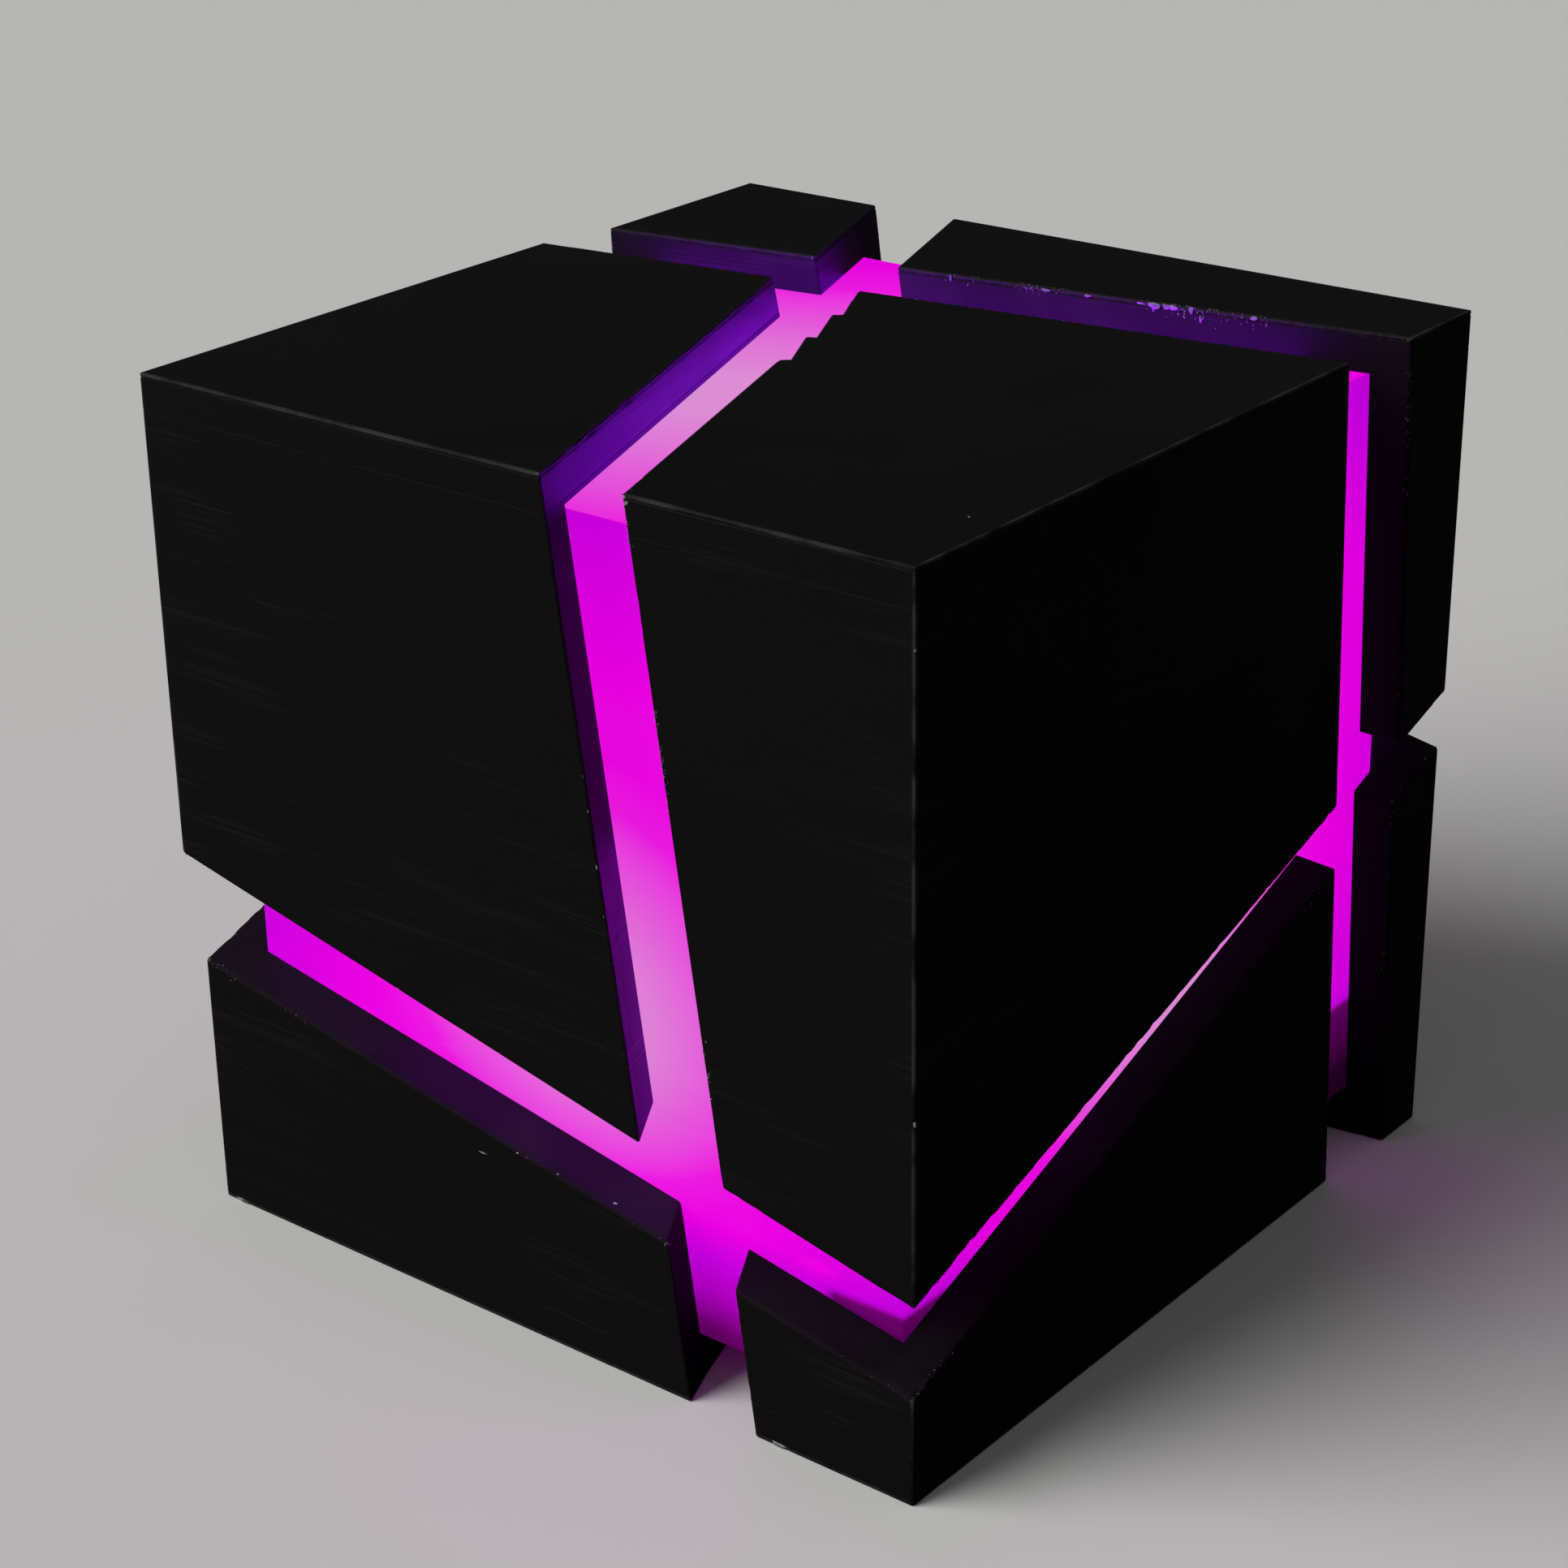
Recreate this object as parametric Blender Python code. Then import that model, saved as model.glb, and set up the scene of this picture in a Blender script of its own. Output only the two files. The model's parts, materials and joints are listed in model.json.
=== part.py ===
"""Fractured-cube lamp: eight black corner shards that magnets hold on a glowing inner cube.

Metres, +Z up. The front is -Y and the right is +X. The origin is the middle of the cube's
footprint, on the surface that the lamp stands on. Three slanted slits part the shards, and each
slit is the space between two cut planes.
"""

import math
from itertools import product

import bmesh
import bpy
from mathutils import Matrix, Vector

MM = 0.001

# The cube and its core
CUBE_SIDE = 120 * MM
SHARD_WALL = 5.6 * MM
CORE_WALL = 2.0 * MM
EDGE_ROUND = 0.35 * MM
GAP = 0.3 * MM  # between faces that touch, and all round a piece that sits in a hole

# Cut planes: the way each one faces, and how far it lies from the middle of the cube
LEFT_CUT = (Vector((1, 0.369, 0.141)).normalized(), -5.2 * MM)
RIGHT_CUT = (Vector((1, 0.350, 0.143)).normalized(), 5.7 * MM)
FRONT_CUT = (Vector((-0.126, 1, 0.047)).normalized(), 26.8 * MM)
BACK_CUT = (Vector((-0.140, 1, 0.055)).normalized(), 38.8 * MM)
LOWER_CUT = (Vector((0.183, -0.358, 1)).normalized(), -11.4 * MM)
UPPER_CUT = (Vector((0.216, -0.326, 1)).normalized(), -0.4 * MM)

# The shards, with the wall that holds the magnet of each (0 a side wall, 1 front or back) and
# how far each sits off its place on the core, outwards only
SHARDS = {
    "upper_left_front": (1, Vector((-0.2, -2.2, 0.9)) * MM),
    "upper_right_front": (0, Vector((0, 0, 0))),
    "upper_left_back": (0, Vector((0, 0.8, 0)) * MM),
    "upper_right_back": (1, Vector((1.1, 1.1, 0)) * MM),
    "lower_left_front": (0, Vector((0, 0, 0))),
    "lower_right_front": (0, Vector((0.5, -0.9, 0)) * MM),
    "lower_left_back": (1, Vector((0, 0, 0))),
    "lower_right_back": (1, Vector((1.1, 0, 0)) * MM),
}
MAGNET_RADIUS = 4.0 * MM
MAGNET_THICKNESS = 3.0 * MM
MAGNET_CHAMFER = 0.3 * MM
MAGNET_CUP_WALL = 1.2 * MM

# The lid in the underside of the core
LID_PLATE = 2.6 * MM
LIP_WALL = 1.6 * MM
LIP_HEIGHT = 8.0 * MM
LID_BOSS_SIDE = 9.0 * MM
LID_BOSS_HEIGHT = 20.0 * MM

# Screws: countersunk ones for the lid and the post, pan heads for the board
SCREW_RADIUS = 1.5 * MM
SCREW_HEAD_RADIUS = 2.9 * MM
SCREW_HEAD_HEIGHT = 1.7 * MM
SCREW_SOCKET_RADIUS = 1.15 * MM
SCREW_SOCKET_DEPTH = 1.1 * MM
SCREW_SINK = 0.2 * MM
LID_SCREW_LENGTH = 12.0 * MM
BOARD_SCREW_LENGTH = 9.0 * MM

# The post that carries the light strips
POST_SIDE = 26.0 * MM
POST_WALL = 2.0 * MM
POST_FOOT = 14.0 * MM
POST_HEADROOM = 26.0 * MM
POST_SCREW_SPREAD = 14.0 * MM

# The light strips and their diodes
STRIP_WIDTH = 10.0 * MM
STRIP_THICKNESS = 0.6 * MM
STRIP_START = 4.0 * MM
STRIP_END = 2.0 * MM
DIODE_SIDE = 5.0 * MM
DIODE_HEIGHT = 1.6 * MM
DIODE_WINDOW_RADIUS = 2.0 * MM
DIODE_WINDOW_DEPTH = 0.4 * MM

# The control board behind the back wall, and what it carries
BOARD_WIDTH = 22.0 * MM
BOARD_HEIGHT = 50.0 * MM
BOARD_THICKNESS = 1.6 * MM
BOARD_STANDOFF = 8.0 * MM
BOARD_RISE = 14.0 * MM
BOARD_SCREW_INSET = 3.4 * MM
STANDOFF_RADIUS = 3.0 * MM
CHIP_SIDE = 7.0 * MM
CHIP_HEIGHT = 1.0 * MM
CHIP_RISE = 22.8 * MM
CAPACITOR_RADIUS = 3.0 * MM
CAPACITOR_HEIGHT = 5.4 * MM
CAPACITOR_EDGE = 4.0 * MM

# The power inlet, upright
INLET_RISE = 11.5 * MM
INLET_WIDTH = 3.26 * MM
INLET_HEIGHT = 8.94 * MM
INLET_SHELL = 0.35 * MM
INLET_BACK = 2.6 * MM
TONGUE_WIDTH = 0.7 * MM
TONGUE_HEIGHT = 6.7 * MM
TONGUE_RECESS = 0.8 * MM

# The push button and its switch
BUTTON_RISE = 34.0 * MM
BUTTON_RADIUS = 4.0 * MM
BUTTON_TIP_ROUND = 0.8 * MM
BUTTON_RECESS = 1.2 * MM
BUTTON_FLANGE_RADIUS = 5.4 * MM
BUTTON_FLANGE = 1.5 * MM
BUTTON_SOCKET_DEPTH = 2.0 * MM
BUTTON_SLEEVE_WALL = 1.0 * MM
BUTTON_TRAVEL = 1.2 * MM
SWITCH_SIDE = 6.0 * MM
SWITCH_HEIGHT = 3.5 * MM
SWITCH_FLOOR = 0.5 * MM
PLUNGER_RADIUS = 1.75 * MM

# The lead from the board to the strips
LEAD_RADIUS = 1.2 * MM
LEAD_REACH = 14.0 * MM
LEAD_POINTS = 16

ROUND_STEPS = 24
OVERSHOOT = 1.0 * MM  # how far a cutter or a joined piece runs past a face

# Worked out from the sizes above
MIDDLE = Vector((0, 0, CUBE_SIDE / 2))
HOLLOW_HALF = CUBE_SIDE / 2 - SHARD_WALL
CORE_HALF = HOLLOW_HALF - GAP
CORE_BOTTOM = MIDDLE.z - CORE_HALF
CORE_TOP = MIDDLE.z + CORE_HALF
INNER_HALF = CORE_HALF - CORE_WALL
LID_TOP = CORE_BOTTOM + LID_PLATE
LIP_TOP = LID_TOP + LIP_HEIGHT
FLOOR_INSIDE = LID_TOP + GAP
POST_TOP = CORE_TOP - CORE_WALL - POST_HEADROOM
STRIP_BOTTOM = FLOOR_INSIDE + STRIP_START
STRIP_TOP = POST_TOP - STRIP_END
BOARD_BOTTOM = CORE_BOTTOM + BOARD_RISE
BOARD_FACE = INNER_HALF - BOARD_STANDOFF
PLUNGER_BASE = GAP + SWITCH_FLOOR + GAP + BUTTON_TRAVEL
BUTTON_BASE = BOARD_STANDOFF - GAP - BUTTON_FLANGE


def clear_scene():
    for thing in list(bpy.data.objects):
        bpy.data.objects.remove(thing, do_unlink=True)


def make_material(name, colour, roughness, metallic=0.0, glow=0.0):
    material = bpy.data.materials.new(name)
    material.use_nodes = True
    shader = material.node_tree.nodes["Principled BSDF"]
    shader.inputs["Base Color"].default_value = (*colour, 1)
    shader.inputs["Roughness"].default_value = roughness
    shader.inputs["Metallic"].default_value = metallic
    shader.inputs["Emission Color"].default_value = (*colour, 1)
    shader.inputs["Emission Strength"].default_value = glow
    return material


def place_object(name, data, material, location, parent):
    if material:
        data.materials.append(material)
    thing = bpy.data.objects.new(name, data)
    thing.location = location
    thing.parent = parent
    bpy.context.scene.collection.objects.link(thing)
    return thing


def add_object(name, bm, material=None, location=(0, 0, 0), parent=None):
    """Makes an object from a bmesh, shaded smooth except along its sharp edges."""
    mesh = bpy.data.meshes.new(name)
    bm.to_mesh(mesh)
    bm.free()
    mesh.shade_smooth()
    mesh.set_sharp_from_angle(angle=math.radians(30))
    return place_object(name, mesh, material, location, parent)


def combine(thing, operation, name, bm):
    """Joins a shape to an object, or cuts it away, with a Boolean on a hidden helper."""
    helper = add_object(name, bm, location=thing.location, parent=thing.parent)
    helper.rotation_euler = thing.rotation_euler
    helper.hide_render = True
    helper.display_type = "WIRE"
    modifier = thing.modifiers.new(name, "BOOLEAN")
    modifier.operation = operation
    modifier.solver = "EXACT"
    modifier.object = helper


def add_box(bm, one_corner, other_corner):
    """Adds a box between two opposite corners."""
    ends = list(zip(one_corner, other_corner))
    low = Vector([min(pair) for pair in ends])
    high = Vector([max(pair) for pair in ends])
    place = Matrix.Translation((low + high) / 2) @ Matrix.Diagonal((*(high - low), 1))
    bmesh.ops.create_cube(bm, size=1, matrix=place)


def add_square_block(bm, half, bottom, top):
    add_box(bm, (-half, -half, bottom), (half, half, top))


def add_turned(bm, profile, axis=(0, 0, 1), place=(0, 0, 0)):
    """Adds a solid of revolution, whose profile holds (radius, distance along the axis) points."""
    before = set(bm.verts)
    points = [bm.verts.new((radius, 0, height)) for radius, height in profile]
    edges = [bm.edges.new(pair) for pair in zip(points, points[1:])]
    bmesh.ops.spin(
        bm,
        geom=points + edges,
        axis=(0, 0, 1),
        cent=(0, 0, 0),
        angle=math.tau,
        steps=ROUND_STEPS,
        use_merge=True,
    )
    made = [vert for vert in bm.verts if vert not in before]
    bmesh.ops.remove_doubles(bm, verts=made, dist=0.001 * MM)
    made = [vert for vert in bm.verts if vert not in before]
    faces = {face for vert in made for face in vert.link_faces}
    bmesh.ops.recalc_face_normals(bm, faces=list(faces))
    turn = Vector((0, 0, 1)).rotation_difference(Vector(axis)).to_matrix().to_4x4()
    bmesh.ops.transform(bm, matrix=Matrix.Translation(place) @ turn, verts=made)


def add_cylinder(bm, radius, low, high, axis=(0, 0, 1), place=(0, 0, 0)):
    """Adds a cylinder that runs from low to high along its axis."""
    add_turned(bm, [(0, low), (radius, low), (radius, high), (0, high)], axis, place)


def add_stadium(bm, width, height, near, far, place):
    """Adds an upright block with round ends that runs along Y from near to far."""
    radius = width / 2
    rise = height / 2 - radius
    steps = ROUND_STEPS // 2
    outline = []
    for end, start in ((rise, 0), (-rise, math.pi)):
        for step in range(steps + 1):
            angle = start + math.pi * step / steps
            outline.append((radius * math.cos(angle), end + radius * math.sin(angle)))
    verts = [bm.verts.new(Vector((x, near, z)) + Vector(place)) for x, z in outline]
    face = bm.faces.new(verts)
    swept = bmesh.ops.extrude_face_region(bm, geom=[face])["geom"]
    ends = [item for item in swept if isinstance(item, bmesh.types.BMVert)]
    bmesh.ops.translate(bm, vec=(0, far - near, 0), verts=ends)
    faces = {face for vert in verts + ends for face in vert.link_faces}
    bmesh.ops.recalc_face_normals(bm, faces=list(faces))


def round_edges(bm):
    bmesh.ops.bevel(
        bm,
        geom=bm.edges[:],
        offset=EDGE_ROUND,
        offset_type="OFFSET",
        segments=2,
        profile=0.5,
        affect="EDGES",
        clamp_overlap=True,
        material=-1,
    )


def slit_middle(height):
    """X of the middle of the upright slit at the core's back face, at this height."""
    sides = []
    for normal, distance in (LEFT_CUT, RIGHT_CUT):
        across = distance - normal.y * CORE_HALF - normal.z * (height - MIDDLE.z)
        sides.append(across / normal.x)
    return sum(sides) / 2


def corner_of(shard):
    """Signs of the cube's corner that a shard covers, such as (-1, -1, 1)."""
    level, side, depth = shard.split("_")
    ends = (side == "right", depth == "back", level == "upper")
    return Vector([1 if end else -1 for end in ends])


def trim_past(bm, point, normal):
    """Cuts away what lies past a plane, on the side that its normal points to."""
    geometry = bm.verts[:] + bm.edges[:] + bm.faces[:]
    bmesh.ops.bisect_plane(
        bm, geom=geometry, plane_co=point, plane_no=normal, clear_outer=True
    )


def trim_to_shard(bm, corner, closed):
    """Cuts a shape down to a shard's side of the three slits, counted from the cube's middle."""
    low_cuts = (LEFT_CUT, FRONT_CUT, LOWER_CUT)
    high_cuts = (RIGHT_CUT, BACK_CUT, UPPER_CUT)
    for sign, low_cut, high_cut in zip(corner, low_cuts, high_cuts):
        normal, distance = high_cut if sign > 0 else low_cut
        trim_past(bm, normal * distance, normal * -sign)
        if closed:
            rim = [edge for edge in bm.edges if edge.is_boundary]
            bmesh.ops.holes_fill(bm, edges=rim, sides=0)


def magnet_place(shard):
    """(point, facing) of a shard's magnet, counted from the cube's middle.

    The point is the middle of what the shard's wall covers of the core's face above the lid's lip.
    """
    corner = corner_of(shard)
    wall = SHARDS[shard][0]
    facing = Vector((0, 0, 0))
    facing[wall] = corner[wall]
    turn = Vector((0, 0, 1)).rotation_difference(facing).to_matrix().to_4x4()
    face_plane = Matrix.Translation(facing * CORE_HALF) @ turn
    bm = bmesh.new()
    bmesh.ops.create_grid(bm, x_segments=1, y_segments=1, size=CORE_HALF, matrix=face_plane)
    trim_to_shard(bm, corner, closed=False)
    trim_past(bm, (0, 0, LIP_TOP - MIDDLE.z), (0, 0, -1))
    bm.faces.ensure_lookup_table()
    point = bm.faces[0].calc_center_median_weighted()
    bm.free()
    return point, facing


def add_magnet(name, metal, face, facing, parent=None):
    """A disc magnet, from the middle of its first face along its facing."""
    rim = MAGNET_RADIUS - MAGNET_CHAMFER
    profile = [
        (0, 0),
        (rim, 0),
        (MAGNET_RADIUS, MAGNET_CHAMFER),
        (MAGNET_RADIUS, MAGNET_THICKNESS - MAGNET_CHAMFER),
        (rim, MAGNET_THICKNESS),
        (0, MAGNET_THICKNESS),
    ]
    bm = bmesh.new()
    add_turned(bm, profile, axis=facing)
    add_object(name, bm, metal, face, parent)


def make_shard(shard, plastic, metal):
    """A corner of the cube's shell, where it sits on the core, with its magnet."""
    body_shape = bmesh.new()
    bmesh.ops.create_cube(body_shape, size=CUBE_SIDE)
    trim_to_shard(body_shape, corner_of(shard), closed=True)
    round_edges(body_shape)
    body = add_object(f"shard_{shard}", body_shape, plastic, MIDDLE + SHARDS[shard][1])

    hollow = bmesh.new()
    bmesh.ops.create_cube(hollow, size=2 * HOLLOW_HALF)
    combine(body, "DIFFERENCE", f"hollow_{shard}", hollow)

    point, facing = magnet_place(shard)
    face = point + facing * GAP
    pocket = bmesh.new()
    depth = MAGNET_THICKNESS + GAP
    add_cylinder(pocket, MAGNET_RADIUS + GAP, -OVERSHOOT, depth, facing, face)
    combine(body, "DIFFERENCE", f"pocket_{shard}", pocket)
    add_magnet(f"shard_magnet_{shard}", metal, face, facing, body)


def make_core_magnet(shard, metal):
    """The mate of a shard's magnet, in its cup inside the core's wall."""
    point, facing = magnet_place(shard)
    face = MIDDLE + point - facing * (CORE_WALL + GAP)
    add_magnet(f"core_magnet_{shard}", metal, face, -facing)


def lid_screw_places():
    """(x, y) of each lid screw, by its corner."""
    reach = INNER_HALF - LID_BOSS_SIDE / 2
    sides = (("left", -reach), ("right", reach))
    ends = (("front", -reach), ("back", reach))
    return {f"{side}_{end}": (x, y) for (side, x), (end, y) in product(sides, ends)}


def post_screw_places():
    """(x, y) of each screw under the post."""
    return {"left": (-POST_SCREW_SPREAD / 2, 0), "right": (POST_SCREW_SPREAD / 2, 0)}


def board_screw_places():
    """(x, z) of each board screw, from the bottom middle of the board's front face."""
    across = BOARD_WIDTH / 2 - BOARD_SCREW_INSET
    return {
        "lower": (-across, BOARD_SCREW_INSET),
        "upper": (across, BOARD_HEIGHT - BOARD_SCREW_INSET),
    }


def add_corner_block(bm, x, y, margin, outer, bottom, top):
    """Adds a square block around a lid screw, which runs out to a distance from the axis."""
    near = INNER_HALF - LID_BOSS_SIDE - margin
    signs = (math.copysign(1, x), math.copysign(1, y))
    one = (signs[0] * near, signs[1] * near, bottom)
    add_box(bm, one, (signs[0] * outer, signs[1] * outer, top))


def core_fittings():
    """What the core's inner walls carry: screw bosses, magnet cups, the board's standoffs and the
    sleeve that guides the button and keeps light in."""
    bm = bmesh.new()
    sunk = INNER_HALF + OVERSHOOT
    boss_top = FLOOR_INSIDE + LID_BOSS_HEIGHT
    for x, y in lid_screw_places().values():
        add_corner_block(bm, x, y, 0, sunk, FLOOR_INSIDE, boss_top)
    cup_radius = MAGNET_RADIUS + GAP + MAGNET_CUP_WALL
    for shard in SHARDS:
        point, facing = magnet_place(shard)
        inner_face = MIDDLE + point - facing * CORE_WALL
        cup_depth = GAP + MAGNET_THICKNESS
        add_cylinder(bm, cup_radius, -OVERSHOOT, cup_depth, -facing, inner_face)
    for across, rise in board_screw_places().values():
        place = (BOARD_X + across, BOARD_FACE, BOARD_BOTTOM + rise)
        add_cylinder(bm, STANDOFF_RADIUS, GAP, BOARD_STANDOFF + OVERSHOOT, (0, 1, 0), place)
    sleeve_radius = BUTTON_FLANGE_RADIUS + GAP + BUTTON_SLEEVE_WALL
    sleeve_base = (BUTTON_X, BOARD_FACE, BOARD_BOTTOM + BUTTON_RISE)
    add_cylinder(bm, sleeve_radius, GAP, BOARD_STANDOFF + OVERSHOOT, (0, 1, 0), sleeve_base)
    return bm


def core_holes():
    """The holes in those fittings, and the ways out for the inlet and the button."""
    bm = bmesh.new()
    screw_tip = CORE_BOTTOM + SCREW_SINK + LID_SCREW_LENGTH + GAP
    for x, y in lid_screw_places().values():
        low = FLOOR_INSIDE - OVERSHOOT
        add_cylinder(bm, SCREW_RADIUS + GAP, low, screw_tip, place=(x, y, 0))
    for shard in SHARDS:
        point, facing = magnet_place(shard)
        inner_face = MIDDLE + point - facing * CORE_WALL
        depth = GAP + MAGNET_THICKNESS + OVERSHOOT
        add_cylinder(bm, MAGNET_RADIUS + GAP, 0, depth, -facing, inner_face)
    for across, rise in board_screw_places().values():
        place = (BOARD_X + across, BOARD_FACE, BOARD_BOTTOM + rise)
        tip = BOARD_SCREW_LENGTH - BOARD_THICKNESS
        add_cylinder(bm, SCREW_RADIUS + GAP, GAP - OVERSHOOT, tip, (0, 1, 0), place)
    low, high = INNER_HALF - OVERSHOOT, CORE_HALF + OVERSHOOT
    width, height = INLET_WIDTH + 2 * GAP, INLET_HEIGHT + 2 * GAP
    add_stadium(bm, width, height, low, high, (INLET_X, 0, BOARD_BOTTOM + INLET_RISE))
    bore = [
        (0, GAP - OVERSHOOT),
        (BUTTON_FLANGE_RADIUS + GAP, GAP - OVERSHOOT),
        (BUTTON_FLANGE_RADIUS + GAP, BOARD_STANDOFF),
        (BUTTON_RADIUS + GAP, BOARD_STANDOFF),
        (BUTTON_RADIUS + GAP, high - BOARD_FACE),
        (0, high - BOARD_FACE),
    ]
    add_turned(bm, bore, (0, 1, 0), (BUTTON_X, BOARD_FACE, BOARD_BOTTOM + BUTTON_RISE))
    return bm


def make_core_diffuser(material):
    """The milky cube, open below."""
    bm = bmesh.new()
    add_square_block(bm, CORE_HALF, CORE_BOTTOM, CORE_TOP)
    round_edges(bm)
    core = add_object("core_diffuser", bm, material)
    hollow = bmesh.new()
    add_square_block(hollow, INNER_HALF, CORE_BOTTOM - OVERSHOOT, CORE_TOP - CORE_WALL)
    combine(core, "DIFFERENCE", "core_hollow", hollow)
    combine(core, "UNION", "core_fittings", core_fittings())
    combine(core, "DIFFERENCE", "core_holes", core_holes())


def make_core_base_lid(material):
    """The lid flush in the underside, with a lip up the inner walls between the screw bosses."""
    half = INNER_HALF - GAP
    bm = bmesh.new()
    add_square_block(bm, half, CORE_BOTTOM, LIP_TOP)
    lid = add_object("core_base_lid", bm, material)
    hollow = bmesh.new()
    add_square_block(hollow, half - LIP_WALL, LID_TOP, LIP_TOP + OVERSHOOT)
    combine(lid, "DIFFERENCE", "lid_hollow", hollow)

    notches = bmesh.new()
    for x, y in lid_screw_places().values():
        outer = INNER_HALF + OVERSHOOT
        add_corner_block(notches, x, y, GAP, outer, LID_TOP, LIP_TOP + OVERSHOOT)
    combine(lid, "DIFFERENCE", "lid_notches", notches)

    sink = CORE_BOTTOM + SCREW_SINK
    profile = [
        (0, CORE_BOTTOM - OVERSHOOT),
        (SCREW_HEAD_RADIUS + GAP, CORE_BOTTOM - OVERSHOOT),
        (SCREW_HEAD_RADIUS + GAP, sink + GAP),
        (SCREW_RADIUS + GAP, sink + SCREW_HEAD_HEIGHT + GAP),
        (SCREW_RADIUS + GAP, LID_TOP + OVERSHOOT),
        (0, LID_TOP + OVERSHOOT),
    ]
    holes = bmesh.new()
    for x, y in (*lid_screw_places().values(), *post_screw_places().values()):
        add_turned(holes, profile, place=(x, y, 0))
    combine(lid, "DIFFERENCE", "lid_screw_holes", holes)


def make_screw(name, steel, head, length, location, axis=(0, 0, 1), parent=None):
    """A screw with a hexagon socket, from the face of its head along its axis."""
    if head == "countersunk":
        shoulder = [(SCREW_HEAD_RADIUS, 0), (SCREW_RADIUS, SCREW_HEAD_HEIGHT)]
        tip = length
    else:
        shoulder = [
            (SCREW_HEAD_RADIUS, 0),
            (SCREW_HEAD_RADIUS, SCREW_HEAD_HEIGHT),
            (SCREW_RADIUS, SCREW_HEAD_HEIGHT),
        ]
        tip = SCREW_HEAD_HEIGHT + length
    point = [(SCREW_RADIUS, tip - SCREW_RADIUS / 3), (SCREW_RADIUS * 2 / 3, tip), (0, tip)]
    bm = bmesh.new()
    add_turned(bm, [(0, 0), *shoulder, *point], axis)
    screw = add_object(name, bm, steel, location, parent)
    socket = bmesh.new()
    depth = SCREW_SOCKET_DEPTH + OVERSHOOT
    turn = Vector((0, 0, 1)).rotation_difference(Vector(axis)).to_matrix().to_4x4()
    middle = Matrix.Translation((0, 0, SCREW_SOCKET_DEPTH - depth / 2))
    bmesh.ops.create_cone(
        socket,
        cap_ends=True,
        segments=6,
        radius1=SCREW_SOCKET_RADIUS,
        radius2=SCREW_SOCKET_RADIUS,
        depth=depth,
        matrix=turn @ middle,
    )
    combine(screw, "DIFFERENCE", f"{name}_socket", socket)


def make_screws(steel, board):
    head_face = CORE_BOTTOM + SCREW_SINK
    for place, (x, y) in lid_screw_places().items():
        location = (x, y, head_face)
        make_screw(f"lid_screw_{place}", steel, "countersunk", LID_SCREW_LENGTH, location)
    for place, (x, y) in post_screw_places().items():
        location = (x, y, head_face)
        make_screw(f"post_screw_{place}", steel, "countersunk", LID_SCREW_LENGTH, location)
    for place, (x, z) in board_screw_places().items():
        location = (x, -BOARD_THICKNESS - GAP - SCREW_HEAD_HEIGHT, z)
        length = BOARD_SCREW_LENGTH - GAP
        make_screw(f"board_screw_{place}", steel, "pan", length, location, (0, 1, 0), board)


def make_light_post(plastic):
    """The square post on the lid, solid at its foot and open above."""
    bm = bmesh.new()
    add_square_block(bm, POST_SIDE / 2, FLOOR_INSIDE, POST_TOP)
    post = add_object("light_post", bm, plastic)
    cuts = bmesh.new()
    half = POST_SIDE / 2 - POST_WALL
    add_square_block(cuts, half, FLOOR_INSIDE + POST_FOOT, POST_TOP + OVERSHOOT)
    screw_tip = CORE_BOTTOM + SCREW_SINK + LID_SCREW_LENGTH + GAP
    for x, y in post_screw_places().values():
        low = FLOOR_INSIDE - OVERSHOOT
        add_cylinder(cuts, SCREW_RADIUS + GAP, low, screw_tip, place=(x, y, 0))
    combine(post, "DIFFERENCE", "post_cuts", cuts)


def make_light_strip(side, turn, circuit, diode_plastic):
    """A strip on one side of the post, built as the front one and turned about the post's axis."""
    back = POST_SIDE / 2 + GAP
    face = back + STRIP_THICKNESS
    bm = bmesh.new()
    half = STRIP_WIDTH / 2
    add_box(bm, (-half, -back, STRIP_BOTTOM), (half, -face, STRIP_TOP))
    strip = add_object(f"light_strip_{side}", bm, circuit)
    strip.rotation_euler = (0, 0, turn)
    levels = ("low", "middle", "high")
    pitch = (STRIP_TOP - STRIP_BOTTOM) / len(levels)
    for index, level in enumerate(levels):
        bm = bmesh.new()
        half = DIODE_SIDE / 2
        add_box(bm, (-half, 0, -half), (half, -DIODE_HEIGHT, half))
        height = STRIP_BOTTOM + pitch * (index + 0.5)
        name = f"diode_{side}_{level}"
        diode = add_object(name, bm, diode_plastic, (0, -face - GAP, height), strip)
        window = bmesh.new()
        low, high = DIODE_HEIGHT - DIODE_WINDOW_DEPTH, DIODE_HEIGHT + OVERSHOOT
        add_cylinder(window, DIODE_WINDOW_RADIUS, low, high, (0, -1, 0))
        combine(diode, "DIFFERENCE", f"{name}_window", window)


def make_control_board(material):
    """The board, with its origin at the bottom middle of the face that looks at the back wall."""
    bm = bmesh.new()
    half = BOARD_WIDTH / 2
    add_box(bm, (-half, -BOARD_THICKNESS, 0), (half, 0, BOARD_HEIGHT))
    board = add_object("control_board", bm, material, (BOARD_X, BOARD_FACE, BOARD_BOTTOM))
    holes = bmesh.new()
    for across, rise in board_screw_places().values():
        low, high = -BOARD_THICKNESS - OVERSHOOT, OVERSHOOT
        add_cylinder(holes, SCREW_RADIUS + GAP, low, high, (0, 1, 0), (across, 0, rise))
    combine(board, "DIFFERENCE", "board_holes", holes)
    return board


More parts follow.
